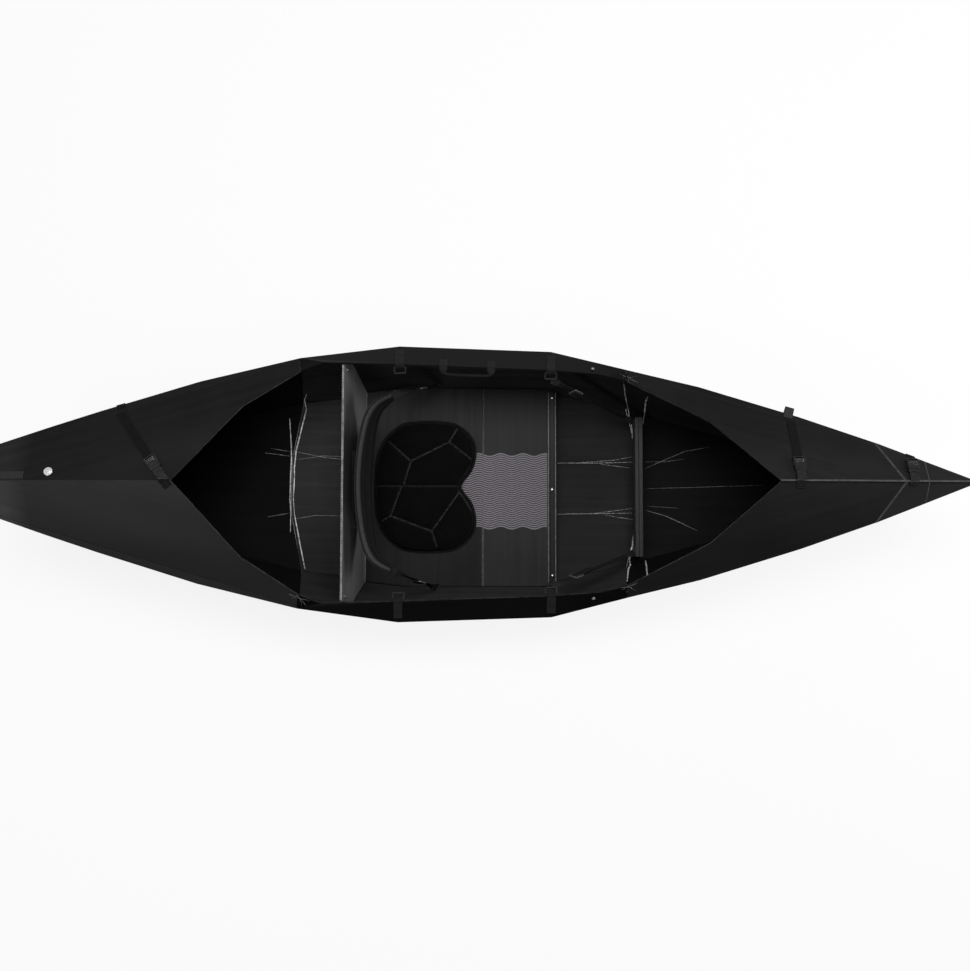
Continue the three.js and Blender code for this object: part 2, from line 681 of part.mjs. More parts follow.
// Footrest: a bar on two straps that hang from the forward rings
const FOOTREST = { x: 470, halfLong: 212, halfThick: 11, low: 24, high: 80, lip: 6 };
const FOOTREST_AXIS = V(191, 293, 270);
const footProfile = [
  [-FOOTREST.halfThick, FOOTREST.low],
  [FOOTREST.halfThick, FOOTREST.low],
  [FOOTREST.halfThick, FOOTREST.high],
  [0, FOOTREST.high],
  [-1, FOOTREST.high - FOOTREST.lip],
  [-FOOTREST.halfThick, FOOTREST.high - FOOTREST.lip],
];
add(
  "footrest_bar",
  plate(footProfile, 2 * FOOTREST.halfLong),
  plastic,
  placing(V(FOOTREST.x, FOOTREST.halfLong, 0), V(1, 0, 0), V(0, -1, 0)),
);
const FOOT_STRAP = { wide: 20, gap: 3.8, y: 199, z: 66, lockShare: 0.29 };
const footStrapEnd = V(FOOTREST.x - FOOTREST.halfThick - FOOT_STRAP.gap, FOOT_STRAP.y, FOOT_STRAP.z);
const footStrap = [FOOTREST_AXIS, footStrapEnd];
const footStrapAcross = footStrapEnd.clone().sub(FOOTREST_AXIS).cross(V(0, 0, 1)).normalize();
addPair("footrest_strap", ribbon(footStrap, footStrapAcross, WEBBING.thick, FOOT_STRAP.wide), webbing);
addPair(
  "footrest_adjuster",
  ladderLock(footStrap, FOOTREST_AXIS, footStrapEnd, FOOT_STRAP.lockShare, footStrapAcross),
  plastic,
);

// Webbing loops over the gunwale folds, each with a ring under the rim
const RING = { halfWide: 17.5, long: 24, bar: 3.6, holeHalfWide: 14, drop: 10 };
const LOOP_LIFT = 1.1;
function hullLoop(name, gunwale, rim) {
  const up = rim.clone().sub(gunwale).normalize();
  const out = up.clone().cross(V(1, 0, 0)).normalize();
  const at = (u, w) => rim.clone().addScaledVector(up, u).addScaledVector(out, w);
  const path = [
    at(-74, LOOP_LIFT), at(0.5, LOOP_LIFT), at(3, 0), at(4.2, -3), at(4.2, -10), at(2.9, -12.9),
    at(0, -14.2), at(-2.9, -12.9), at(-4.2, -10),
  ];
  addPair("hull_loop_" + name, ribbon(path, V(1, 0, 0)), webbing);
  const { halfWide, long, bar, holeHalfWide } = RING;
  const outline = rectangle(-halfWide, -bar / 2, halfWide, long - bar / 2, 3);
  const hole = rectangle(-holeHalfWide, bar / 2, holeHalfWide, long - 1.5 * bar).reverse();
  const ring = plate(outline, bar, [hole]).translate(0, 0, -bar / 2);
  const ringPlace = placing(at(0, -RING.drop), V(1, 0, 0), up.clone().negate());
  addPair("hull_ring_" + name, ring.applyMatrix4(ringPlace), plastic);
}
hullLoop("aft", corner.gunwaleSternward, corner.rimSternward);
hullLoop("fore", corner.gunwaleBowward, corner.rimBowward);

// Carry handle: a webbing grip on the port rim, hinged where its two ends leave their anchors
const HANDLE = {
  x: -48,
  halfLong: 79,
  armWide: 23,
  root: 1.2,
  reach: 30,
  gripWide: 16,
  bevel: 5,
  thick: 3,
  droop: 0.17,
};
const rimAlong = corner.rimBowward.clone().sub(corner.rimSternward).normalize();
const portFold = faceOf(corner.gunwaleSternward, corner.rimSternward, corner.rimBowward, V(0, 1, 1));
const foldUp = portFold.normal.clone().cross(rimAlong).normalize();
if (foldUp.z < 0) foldUp.negate();
const rimMiddle = corner.rimSternward.clone().lerp(
  corner.rimBowward,
  (HANDLE.x - corner.rimSternward.x) / (corner.rimBowward.x - corner.rimSternward.x),
);
function atRim(along, up, out) {
  const point = rimMiddle.clone().addScaledVector(rimAlong, along);
  return point.addScaledVector(foldUp, up).addScaledVector(portFold.normal, out);
}
const HANDLE_AXIS = atRim(0, 5, -1.5);
function handleOutline() {
  const { halfLong, armWide, root, reach, gripWide, bevel } = HANDLE;
  return [
    [-halfLong, root],
    [armWide - halfLong, root],
    [armWide - halfLong, reach - gripWide],
    [halfLong - armWide, reach - gripWide],
    [halfLong - armWide, root],
    [halfLong, root],
    [halfLong, reach - bevel],
    [halfLong - bevel, reach],
    [bevel - halfLong, reach],
    [-halfLong, reach - bevel],
  ];
}
const inboard = V(0, -1, -HANDLE.droop);
const handleUp = rimAlong.clone().cross(inboard).normalize();
add(
  "carry_handle",
  plate(handleOutline(), HANDLE.thick).translate(0, 0, -HANDLE.thick / 2),
  webbing,
  placing(HANDLE_AXIS, rimAlong, handleUp),
);
for (const [name, side] of [["aft", -1], ["fore", 1]]) {
  const middle = side * (HANDLE.halfLong - HANDLE.armWide / 2);
  const path = [
    atRim(middle, -32, LOOP_LIFT),
    atRim(middle, 0.4, LOOP_LIFT),
    atRim(middle, 2, 0),
    atRim(middle, 2, -2.5),
  ];
  add("handle_anchor_" + name, ribbon(path, rimAlong, WEBBING.thick, HANDLE.armWide), webbing);
}

// Deck straps. Each has a gunwale anchor, a strap on the port deck, a buckle and an end tab to starboard.
const BUCKLE = { long: 30, halfWide: 17, thick: 10, wall: 2.2, cavityHalf: 12.5, cavityStart: 8 };
const DECK_LIFT = 0.3;
const HINGE_CLEARANCE = 3.5;

function buckleSocket() {
  const { long, halfWide, thick, wall, cavityHalf, cavityStart } = BUCKLE;
  const outline = [
    [0, -halfWide + 3], [4, -halfWide], [long * 0.6, -halfWide], [long, -halfWide + 2],
    [long, halfWide - 2], [long * 0.6, halfWide], [4, halfWide], [0, halfWide - 3],
  ];
  const window = box(13, 24, cavityHalf - 1, halfWide + 1, wall, thick - wall);
  return cut(
    plate(outline, thick),
    box(cavityStart, long + 1, -cavityHalf, cavityHalf, wall, thick - wall),
    box(2.4, 5.6, -cavityHalf, cavityHalf, -1, thick + 1),
    window,
    mirroredCopy(window),
  );
}

// The plug's two arms and its tongue fill the socket; its webbing stub goes on to the seam.
function bucklePlug(stubOutline) {
  const { long, thick, cavityHalf, cavityStart } = BUCKLE;
  const start = long + 0.4;
  const base = plate(rectangle(start, -15.5, start + 10, 15.5, 2), thick - 3).translate(0, 0, 1.5);
  const armHalf = cavityHalf - 0.4;
  const arm = [
    [start + 1, armHalf - 5], [start + 1, armHalf - 1.5], [22, armHalf - 1.5], [20, armHalf],
    [cavityStart + 6, armHalf], [cavityStart + 3, armHalf - 3], [cavityStart + 5, armHalf - 5],
  ];
  const arms = plate(arm.reverse(), thick - 6.2).translate(0, 0, 3.1);
  const tongue = plate(rectangle(cavityStart + 6, -2.4, start + 1, 2.4), thick - 6.2).translate(0, 0, 3.1);
  const stub = plate(stubOutline, WEBBING.thick).translate(0, 0, 4.2);
  return fused(base, arms, mirroredCopy(arms), tongue, stub);
}

// How far along a placing's X axis a line at left offset ly reaches a plane
function reach(place, ly, point, normal, distance) {
  const origin = V(0, ly, 0).applyMatrix4(place);
  const along = V(1, 0, 0).transformDirection(place);
  return (distance - origin.sub(point).dot(normal)) / along.dot(normal);
}

// A strap piece from one plane to another, cut along both
function strapOutline(place, from, to) {
  const half = WEBBING.wide / 2;
  return [
    [from(place, -half), -half],
    [to(place, -half), -half],
    [to(place, half), half],
    [from(place, half), half],
  ];
}
const fixedX = (x) => () => x;
const seam = (side, distance) => (place, ly) => reach(place, ly, V(0, 0, 0), V(0, side, 0), distance);

function gunwaleAnchor(name, deck, side, a, b, share, back, proud) {
  const edge = a.clone().lerp(b, share);
  const along = b.clone().sub(a).normalize();
  const up = deck.normal;
  const outward = up.clone().cross(along);
  if (outward.y < 0) outward.negate();
  const down = side.normal.clone().cross(along);
  if (down.z > 0) down.negate();
  const on = (u, w) => edge.clone().addScaledVector(outward, u).addScaledVector(up, w);
  const under = (u, w) => edge.clone().addScaledVector(down, u).addScaledVector(side.normal, w);
  const lift = WEBBING.thick / 2 + DECK_LIFT;
  const crease = up.clone().add(side.normal).multiplyScalar(lift / (1 + up.dot(side.normal)));
  const loop = [on(proud - 2, lift), on(proud, lift - 2), on(proud, lift - 5), on(proud - 2, lift - 7)];
  const turn = proud ? [...loop, under(14, lift)] : [edge.clone().add(crease)];
  add(name, ribbon([on(-back, lift), ...turn, under(32, lift)], along), webbing);
}

function deckStrap(name, deck, origin, heading, hinge, tabEnd) {
  const [ox, oy] = origin;
  const [hx, hy] = heading;
  const place = placing(pointOn(deck, ox, oy, DECK_LIFT), V(hx, hy, 0), deck.normal);
  const stub = strapOutline(place, fixedX(BUCKLE.long + 4), seam(1, 1));
  if (hinge) {
    const strap = strapOutline(place, hinge, fixedX(-0.4));
    add(name + "_strap", plate(strap, WEBBING.thick), webbing, place);
  }
  add(name + "_buckle_socket", buckleSocket(), plastic, place);
  add(name + "_buckle_plug", bucklePlug(stub), plastic, place);
  const other = new THREE.Plane(V(deck.normal.x, -deck.normal.y, deck.normal.z), deck.constant);
  const seamX = ox - (oy * hx) / hy;
  const tabPlace = placing(pointOn(other, seamX, 0, DECK_LIFT), V(hx, hy, 0), other.normal);
  const tab = strapOutline(tabPlace, seam(-1, 1), fixedX(tabEnd));
  add(name + "_strap_tab", plate(tab, WEBBING.thick), webbing, tabPlace);
}

function clearOfHinge(deck, a, b) {
  const inward = deck.normal.clone().cross(b.clone().sub(a)).normalize();
  if (inward.y > 0) inward.negate();
  return (place, ly) => reach(place, ly, a, inward, HINGE_CLEARANCE);
}

const bowHinge = clearOfHinge(bowDeck, corner.hingeBowAft, corner.hingeBowFore);
const sternHinge = clearOfHinge(sternDeck, corner.hingeSternFore, corner.hingeSternAft);
const bowWall = faceOf(corner.bowDiagonal, corner.gunwaleBowB, corner.gunwaleBowA, V(0, 1, 0));
const noseWall = faceOf(corner.keelEnd, corner.tip, corner.gunwaleNose, V(0, 1, 0));
const sternWall = faceOf(corner.transomFoot, corner.gunwaleSternA, corner.gunwaleSternB, V(0, 1, 0));

const { gunwaleBowA, gunwaleBowB, gunwaleSternA, gunwaleSternB } = corner;
gunwaleAnchor("bow_aft_strap_anchor", bowDeck, bowWall, gunwaleBowA, gunwaleBowB, 0.9, 14, 22);
deckStrap("bow_aft", bowDeck, [864, 66], [0, -1], bowHinge, 22);

const noseDeck = faceOf(corner.gunwaleNose, corner.tip, corner.seamNose, V(0, 0, 1));
gunwaleAnchor("bow_front_strap_anchor", noseDeck, noseWall, corner.gunwaleNose, corner.tip, 0.345, 6, 0);
deckStrap("bow_front", noseDeck, [1184, 62], [-0.04, -1], null, 14);

gunwaleAnchor("stern_strap_anchor", sternDeck, sternWall, gunwaleSternA, gunwaleSternB, 0.8, 12, 0);
deckStrap("stern", sternDeck, [-927, 64], [0.578, -0.816], sternHinge, 24);

// Stern snap and webbing tab on the port stern deck
const SNAP = { x: -1204, y: 24, radius: 12.5 };
const snapProfile = [
  [0, 0], [SNAP.radius, 0], [SNAP.radius, 2], [SNAP.radius - 1.5, 3.4], [8, 3.2], [7, 4.6], [0, 5],
];
add(
  "stern_snap",
  turned(snapProfile, 24),
  metal,
  placing(pointOn(sternDeck, SNAP.x, SNAP.y, DECK_LIFT), V(1, 0, 0), sternDeck.normal),
);
const STERN_TAB = { x: -1307, y: 14, halfLong: 33, halfWide: 11 };
add(
  "stern_tab",
  plate(rectangle(-STERN_TAB.halfLong, -STERN_TAB.halfWide, STERN_TAB.halfLong, STERN_TAB.halfWide), 1.6),
  webbing,
  placing(pointOn(sternDeck, STERN_TAB.x, STERN_TAB.y, DECK_LIFT), V(1, 0, 0), sternDeck.normal),
);

export default kayak;
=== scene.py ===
import json
import math

import bmesh
import bpy
from mathutils import Euler, Matrix, Vector
from mathutils.bvhtree import BVHTree

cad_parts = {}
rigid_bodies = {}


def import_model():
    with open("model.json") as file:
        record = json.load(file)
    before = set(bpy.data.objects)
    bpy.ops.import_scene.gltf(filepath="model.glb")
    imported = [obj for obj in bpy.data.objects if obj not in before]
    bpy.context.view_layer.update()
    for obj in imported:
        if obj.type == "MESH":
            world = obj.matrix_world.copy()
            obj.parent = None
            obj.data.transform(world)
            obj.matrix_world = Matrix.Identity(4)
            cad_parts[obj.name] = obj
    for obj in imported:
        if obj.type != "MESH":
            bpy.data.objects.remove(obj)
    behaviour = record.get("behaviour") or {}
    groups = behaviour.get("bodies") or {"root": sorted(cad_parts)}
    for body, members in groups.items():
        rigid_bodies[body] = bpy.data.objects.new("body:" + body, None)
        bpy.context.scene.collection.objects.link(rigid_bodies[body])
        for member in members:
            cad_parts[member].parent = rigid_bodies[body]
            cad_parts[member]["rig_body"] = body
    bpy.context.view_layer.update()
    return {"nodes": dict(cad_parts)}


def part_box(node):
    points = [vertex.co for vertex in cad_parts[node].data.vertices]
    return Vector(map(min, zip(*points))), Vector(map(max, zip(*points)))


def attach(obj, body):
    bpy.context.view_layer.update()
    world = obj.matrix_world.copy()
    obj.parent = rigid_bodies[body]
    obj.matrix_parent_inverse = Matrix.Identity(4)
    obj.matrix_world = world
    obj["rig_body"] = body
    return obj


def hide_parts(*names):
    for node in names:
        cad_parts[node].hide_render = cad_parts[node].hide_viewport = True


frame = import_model()
scene = bpy.context.scene
scene.view_settings.view_transform = "Standard"


# Studio: a camera straight above the cockpit, a hand's width to starboard and tipped back towards the
# port side, over a plain white floor. A long lamp hangs over the port side, a lower one ahead of the
# bow, and a weak one over the starboard quarter.
camera = bpy.data.objects.new("overhead_camera", bpy.data.cameras.new("overhead_camera"))
camera.data.sensor_width, camera.data.lens = 36, 36.17
camera.location = (0.0035, -0.16, 3.028)
camera.rotation_euler = Euler((0.055, 0, 0.0023))
scene.collection.objects.link(camera)
scene.camera = camera

# Each lamp's place, what it points at, its width and depth, and its power
LAMPS = {
    "port_lamp": ((0, 1.6, 4.4), (0, 0, 0.1), 4.5, 2.0, 195),
    "bow_lamp": ((4.3, 0.2, 1.7), (-0.3, 0, 0.2), 2.6, 1.2, 110),
    "quarter_lamp": ((-2.4, -2.3, 3.4), (-0.9, -0.1, 0.3), 1.6, 1.2, 30),
}
for name, (place, aim, width, depth, power) in LAMPS.items():
    lamp = bpy.data.objects.new(name, bpy.data.lights.new(name, "AREA"))
    lamp.data.shape = "RECTANGLE"
    lamp.data.size, lamp.data.size_y, lamp.data.energy = width, depth, power
    lamp.location = place
    lamp.rotation_euler = (Vector(aim) - Vector(place)).to_track_quat("-Z", "Y").to_euler()
    scene.collection.objects.link(lamp)


def node_in(tree, kind, inputs=None, **settings):
    """A new node with its settings. Each input is a value, or another node's socket that feeds it."""
    node = tree.nodes.new(kind)
    for name, value in settings.items():
        setattr(node, name, value)
    for socket, value in (inputs or {}).items():
        if isinstance(value, bpy.types.NodeSocket):
            tree.links.new(value, node.inputs[socket])
        elif value is not None:
            node.inputs[socket].default_value = value
    return node


def fed(kind, inputs, **settings):
    """A new node in the tree that its inputs come from."""
    sockets = [value for value in inputs.values() if isinstance(value, bpy.types.NodeSocket)]
    return node_in(sockets[0].id_data, kind, inputs, **settings)


def maths(operation, *values, clamp=False):
    values = dict(enumerate(values))
    return fed("ShaderNodeMath", values, operation=operation, use_clamp=clamp).outputs[0]


def times(first, second):
    return maths("MULTIPLY", first, second)


def ramped(value, low, high, to_low=0.0, to_high=1.0):
    limits = {"From Min": low, "From Max": high, "To Min": to_low, "To Max": to_high}
    return fed("ShaderNodeMapRange", {"Value": value, **limits}).outputs[0]


def seen_directly(tree):
    """One for rays from the camera, off metal or through glass, and nought for the rest."""
    rays = tree.nodes.new("ShaderNodeLightPath").outputs
    either = maths("MAXIMUM", rays["Is Camera Ray"], rays["Is Transmission Ray"])
    return maths("MAXIMUM", either, rays["Is Glossy Ray"])


AIR_ON_BOAT = 0.1
scene.world = bpy.data.worlds.new("studio_air")
scene.world.use_nodes = True
tree = scene.world.node_tree
air = tree.nodes["Background"].inputs
air["Color"].default_value = (1, 1, 1, 1)
tree.links.new(ramped(seen_directly(tree), 0.0, 1.0, AIR_ON_BOAT, 1.0), air["Strength"])

FLOOR_HALF, FLOOR_LEVEL = 9, -0.0006
PAPER_GREY, PAPER_GLOW = 0.8, 0.86
SQUARE = ((-1, -1), (1, -1), (1, 1), (-1, 1))
corners = [(x * FLOOR_HALF, y * FLOOR_HALF, FLOOR_LEVEL) for x, y in SQUARE]
studio_floor = bpy.data.objects.new("studio_floor", bpy.data.meshes.new("studio_floor"))
studio_floor.data.from_pydata(corners, [], [(0, 1, 2, 3)])
scene.collection.objects.link(studio_floor)
paper = bpy.data.materials.new("white_paper")
paper.use_nodes = True
tree = paper.node_tree
tree.nodes.clear()
diffuse = node_in(tree, "ShaderNodeBsdfDiffuse", {"Color": (PAPER_GREY, PAPER_GREY, PAPER_GREY, 1)})
glow = node_in(tree, "ShaderNodeEmission", {"Color": (1, 1, 1, 1), "Strength": 1.0})
share = times(seen_directly(tree), PAPER_GLOW)
mix = node_in(tree, "ShaderNodeMixShader", {"Fac": share, 1: diffuse.outputs[0], 2: glow.outputs[0]})
node_in(tree, "ShaderNodeOutputMaterial", {"Surface": mix.outputs[0]})
studio_floor.data.materials.append(paper)


# Hull sheet: one sheet of black twin-wall board, 5 mm thick, whose walls are joined by fine flutes.
# It is scored and folded along the creases into bottom, sides, gunwale folds and decks.
FLUTE_PITCH = 0.0045


def group_with(name, given, made):
    """A new shader node group from its inputs' values and its outputs' names, and what feeds it."""
    tree = bpy.data.node_groups.new(name, "ShaderNodeTree")
    for socket, value in given.items():
        kind = "NodeSocketVector" if isinstance(value, tuple) else "NodeSocketFloat"
        tree.interface.new_socket(socket, in_out="INPUT", socket_type=kind).default_value = value
    for socket in made:
        kind = "NodeSocketVector" if socket == "Normal" else "NodeSocketFloat"
        tree.interface.new_socket(socket, in_out="OUTPUT", socket_type=kind)
    return tree, tree.nodes.new("NodeGroupInput").outputs


def place_on(tree):
    return tree.nodes.new("ShaderNodeTexCoord").outputs["Object"]


def dotted(vector, way):
    both = {0: vector, 1: way}
    return fed("ShaderNodeVectorMath", both, operation="DOT_PRODUCT").outputs["Value"]


def noise(vector, scale, detail, rough):
    values = {"Vector": vector, "Scale": scale, "Detail": detail, "Roughness": rough}
    return fed("ShaderNodeTexNoise", values).outputs["Fac"]


def build_flutes():
    """Height, streaks and scuffs of twin-wall board whose flutes run along one direction."""
    given = {"Along": (1, 0, 0), "Across": (0, 1, 0), "Pitch": FLUTE_PITCH}
    tree, given = group_with("board_flutes", given, ("Height", "Streaks", "Scuffs"))
    place = place_on(tree)
    along, across = dotted(place, given["Along"]), dotted(place, given["Across"])

    def drawn_out(lengthwise, crosswise, detail, rough):
        stretched = {0: times(along, lengthwise), 1: times(across, crosswise)}
        return noise(fed("ShaderNodeCombineXYZ", stretched).outputs[0], 1.0, detail, rough)

    turns = times(maths("DIVIDE", across, given["Pitch"]), math.pi)
    webs = ramped(maths("ABSOLUTE", maths("SINE", turns)), 0.0, 0.35)
    streaks = times(drawn_out(1.6, 55.0, 4.0, 0.6), 0.6)
    streaks = maths("ADD", streaks, times(noise(place, 7.0, 2.0, 0.5), 0.4))
    scuffs = ramped(drawn_out(30.0, 160.0, 6.0, 0.7), 0.66, 0.74)
    node_in(tree, "NodeGroupOutput", {"Height": webs, "Streaks": streaks, "Scuffs": scuffs})
    return tree


def build_edge_wear():
    """A mask of the rubbed edges of a piece, also for painted highlights, and its normal with those
    edges rounded.
    """
    tree, given = group_with("edge_wear", {"Radius": 0.0012}, ("Mask", "Normal"))
    bevel = node_in(tree, "ShaderNodeBevel", {"Radius": given["Radius"]}, samples=4).outputs[0]
    flat = tree.nodes.new("ShaderNodeNewGeometry").outputs["True Normal"]
    edge = ramped(dotted(bevel, flat), 0.985, 0.86)
    chips = ramped(noise(place_on(tree), 90.0, 4.0, 0.7), 0.35, 0.6)
    mask = maths("MULTIPLY", edge, chips, clamp=True)
    node_in(tree, "NodeGroupOutput", {"Mask": mask, "Normal": bevel})
    return tree


board_flutes = build_flutes()
edge_wear = build_edge_wear()


def material_with(name, roughness, **values):
    """A new material and its node tree, with the shader's values that are the same all over it."""
    material = bpy.data.materials.new(name)
    material.use_nodes = True
    shader = material.node_tree.nodes["Principled BSDF"]
    for socket, value in {"Roughness": roughness, **values}.items():
        shader.inputs[socket.replace("_", " ")].default_value = value
    return material, material.node_tree


def placed(tree, group, **values):
    return node_in(tree, "ShaderNodeGroup", values, node_tree=group).outputs


def blended(share, low, high):
    """A colour between two, each a colour or the output of another mix."""
    low, high = ((*one, 1) if isinstance(one, tuple) else one for one in (low, high))
    return fed("ShaderNodeMix", {"Factor": share, 6: low, 7: high}, data_type="RGBA").outputs[2]


def dressed(colour, rough, height, strength, depth, under=None):
    """Feeds a shader's colour, its roughness, and the bump of its surface."""
    tree = colour.id_data
    shader = tree.nodes["Principled BSDF"].inputs
    bump = {"Strength": strength, "Distance": depth, "Height": height, "Normal": under}
    tree.links.new(colour, shader["Base Color"])
    tree.links.new(rough, shader["Roughness"])
    tree.links.new(fed("ShaderNodeBump", bump).outputs[0], shader["Normal"])


def grey(level):
    return (level, level, level * 1.03)


def board_material(name, along, facing, dark, light, roughness=0.42, pitch=FLUTE_PITCH, gloss=0.03):
    """Streaked and scuffed board between two greys, whose flutes run along a direction."""
    material, tree = material_with(name, roughness, Specular_IOR_Level=gloss)
    along = Vector(along).normalized()
    across = Vector(facing).cross(along).normalized()
    flutes = placed(tree, board_flutes, Along=along, Across=across, Pitch=pitch)
    wear = placed(tree, edge_wear, Radius=0.0014)
    rubbed = tuple(min(1.0, 3.2 * value + 0.012) for value in grey(light))
    colour = blended(ramped(flutes["Streaks"], 0.35, 0.65), grey(dark), grey(light))
    colour = blended(times(flutes["Scuffs"], 0.25), colour, rubbed)
    colour = blended(times(wear["Mask"], 0.7), colour, rubbed)
    rough = ramped(flutes["Streaks"], 0.3, 0.7, roughness - 0.05, roughness + 0.07)
    dressed(colour, rough, flutes["Height"], 0.3, 0.00012, wear["Normal"])
    return material


def painted_over(share, colour):
    """Lays a colour over a board's own wherever a mask says so."""
    tree = share.id_data
    socket = tree.nodes["Principled BSDF"].inputs["Base Color"]
    tree.links.new(blended(share, socket.links[0].from_socket, colour), socket)


def crease_and_light_line(material, way, reach, half, level):
    """Greys the line at one reach along a direction: whitened creases, painted highlights and shadows.
    """
    tree = material.node_tree
    gap = maths("ABSOLUTE", maths("SUBTRACT", dotted(place_on(tree), way), reach))
    near = ramped(gap, half * 0.4, half, 1.0, 0.0)
    broken = ramped(noise(place_on(tree), 120.0, 3.0, 0.6), 0.3, 0.6, 0.35, 1.0)
    painted_over(times(near, broken), grey(level))


def painted_light_fade(material, way, low, high, level):
    """Paints light or shade on a board: from its own grey to another between two reaches along a
    direction.
    """
    tree = material.node_tree
    groups = [node for node in tree.nodes if node.type == "GROUP"]
    flutes = next(node for node in groups if node.node_tree == board_flutes)
    streaks = ramped(flutes.outputs["Streaks"], 0.35, 0.65)
    beyond = blended(streaks, grey(level * 0.72), grey(level * 1.28))
    painted_over(ramped(dotted(place_on(tree), way), low, high), beyond)


# A deck flap's hinge line seen from above, how far inboard it reaches, and its two ends along X
DECKS = {
    "bow": ((0.750414, 0.210725), (-0.9563, 0.2926), 0.2197, (0.405, 1.16)),
    "stern": ((-0.946443, 0.221067), (0.9569, 0.2905), 0.1865, (-1.346, -0.522)),
}
DECK_CROWN, DECK_FADE = 0.007, 0.16


def smooth_step(value):
    value = min(1.0, max(0.0, value))
    return value * value * (3 - 2 * value)


def off_hinge(x, y):
    """How far a point of a deck lies from its hinge line, and whether it lies outboard of it."""
    (hx, hy), (ax, ay), _, _ = DECKS["bow" if x > 0 else "stern"]
    return abs((x - hx) * ay - (abs(y) - hy) * ax), abs(y) > hy + (x - hx) * ay / ax


def deck_rise(x, y):
    """How far a deck flap bows up above its flat plane, at a point seen from above."""
    off, outboard = off_hinge(x, y)
    if outboard:
        return 0.0
    _, _, wide, (low, high) = DECKS["bow" if x > 0 else "stern"]
    fade = smooth_step((x - low) / DECK_FADE) * smooth_step((high - x) / DECK_FADE)
    return DECK_CROWN * math.sin(math.pi * min(1.0, off / wide)) * fade


def bowed_up(shape):
    for corner in shape.verts:
        corner.co.z += deck_rise(corner.co.x, corner.co.y)


def sliced(shape, start, way, step, count):
    """Cuts a mesh across at even steps, so that it can bend."""
    for k in range(1, count):
        everything = shape.verts[:] + shape.edges[:] + shape.faces[:]
        place = start + way * (step * k)
        bmesh.ops.bisect_plane(shape, geom=everything, plane_co=place, plane_no=way, dist=1e-6)


def merged_copy(node):
    """The CAD node's mesh with its triangles joined and its flat faces made whole."""
    shape = bmesh.new()
    shape.from_mesh(frame["nodes"][node].data)
    bmesh.ops.remove_doubles(shape, verts=shape.verts, dist=2e-5)
    bmesh.ops.dissolve_limit(shape, angle_limit=math.radians(0.6), verts=shape.verts, edges=shape.edges)
    return shape


def body_of(node):
    return frame["nodes"][node]["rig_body"]


def plain_mesh(item):
    """Turns an object's modifiers into a plain mesh."""
    bpy.context.view_layer.update()
    made = bpy.data.meshes.new_from_object(item.evaluated_get(bpy.context.evaluated_depsgraph_get()))
    item.modifiers.clear()
    item.data = made


def new_piece(name, shape, looks, body):
    item = bpy.data.objects.new(name, bpy.data.meshes.new(name))
    shape.to_mesh(item.data)
    shape.free()
    scene.collection.objects.link(item)
    for look in looks if isinstance(looks, list) else [looks]:
        item.data.materials.append(look)
    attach(item, body)
    return item


def smoothed(item, sharpest=None):
    item.data.polygons.foreach_set("use_smooth", [True] * len(item.data.polygons))
    if sharpest:
        item.data.set_sharp_from_angle(angle=math.radians(sharpest))


def rounded(item, width, steps=2):
    """Rounds the sharp edges of a piece and shades what is left smooth."""
    bevel = item.modifiers.new("rounded", "BEVEL")
    bevel.width, bevel.segments = width, steps
    bevel.limit_method, bevel.angle_limit = "ANGLE", math.radians(28)
    plain_mesh(item)
    smoothed(item, 32)
    item.modifiers.new("even", "WEIGHTED_NORMAL").keep_sharp = True
    plain_mesh(item)


CUT_WIDTH = 0.0078


def mark_cut_edges(shape, pale):
    """Gives the narrow cut faces of a board the second material, and a map along and across them."""
    strip = shape.loops.layers.uv.new("cut")
    for face in shape.faces:
        edge = max(face.edges, key=lambda item: item.calc_length())
        way = (edge.verts[1].co - edge.verts[0].co).normalized()
        over = face.normal.cross(way)
        heights = [corner.co.dot(over) for corner in face.verts]
        if max(heights) - min(heights) > CUT_WIDTH or not pale(face.calc_center_median(), face.normal):
            continue
        face.material_index = 1
        middle = (max(heights) + min(heights)) / 2
        for corner in face.loops:
            corner[strip].uv = (corner.vert.co.dot(way), corner.vert.co.dot(over) - middle)


def map_of(tree, name):
    strip = node_in(tree, "ShaderNodeUVMap", uv_map=name)
    return node_in(tree, "ShaderNodeSeparateXYZ", {0: strip.outputs[0]}).outputs


def cut_edge_material(name, dark, light):
    """The cut edge of twin-wall board: two pale walls with webs between them, and dark hollows."""
    # The walls are pale partly from the rough cut and partly as a painted highlight along the edge.
    material, tree = material_with(name, 0.5, Specular_IOR_Level=0.03)
    parts = map_of(tree, "cut")
    turns = maths("FRACT", maths("DIVIDE", parts["X"], FLUTE_PITCH))
    web = ramped(maths("ABSOLUTE", maths("SUBTRACT", turns, 0.5)), 0.3, 0.4)
    wall = ramped(maths("ABSOLUTE", parts["Y"]), 0.0014, 0.0017)
    solid = maths("MAXIMUM", web, wall)
    patchy = noise(place_on(tree), 45.0, 3.0, 0.6)
    walls = blended(ramped(patchy, 0.3, 0.7), dark, light)
    colour = blended(solid, (0.006, 0.006, 0.006), walls)
    dressed(colour, ramped(patchy, 0.3, 0.7, 0.42, 0.6), solid, 0.6, 0.0008)
    return material


# The three edge greys are painted light: bright on the panel's top, dim on the starboard fold.
cut_edge = cut_edge_material("cut_board_edge", (0.03, 0.031, 0.032), (0.13, 0.132, 0.135))
shaded_edge = cut_edge_material("shaded_cut_edge", (0.008, 0.008, 0.0085), (0.05, 0.051, 0.052))
highlit_edge = cut_edge_material("highlit_cut_edge", (0.22, 0.222, 0.226), (0.62, 0.625, 0.63))


HINGE_FOLD = 0.012


def always(centre, normal):
    return True


def never(centre, normal):
    return False


def off_the_hinge(centre, normal):
    """The cut edges of a deck flap, but not the fold that hinges it."""
    return off_hinge(centre.x, centre.y)[0] > HINGE_FOLD


def inboard_edge(centre, normal):
    return normal.y * centre.y < 0


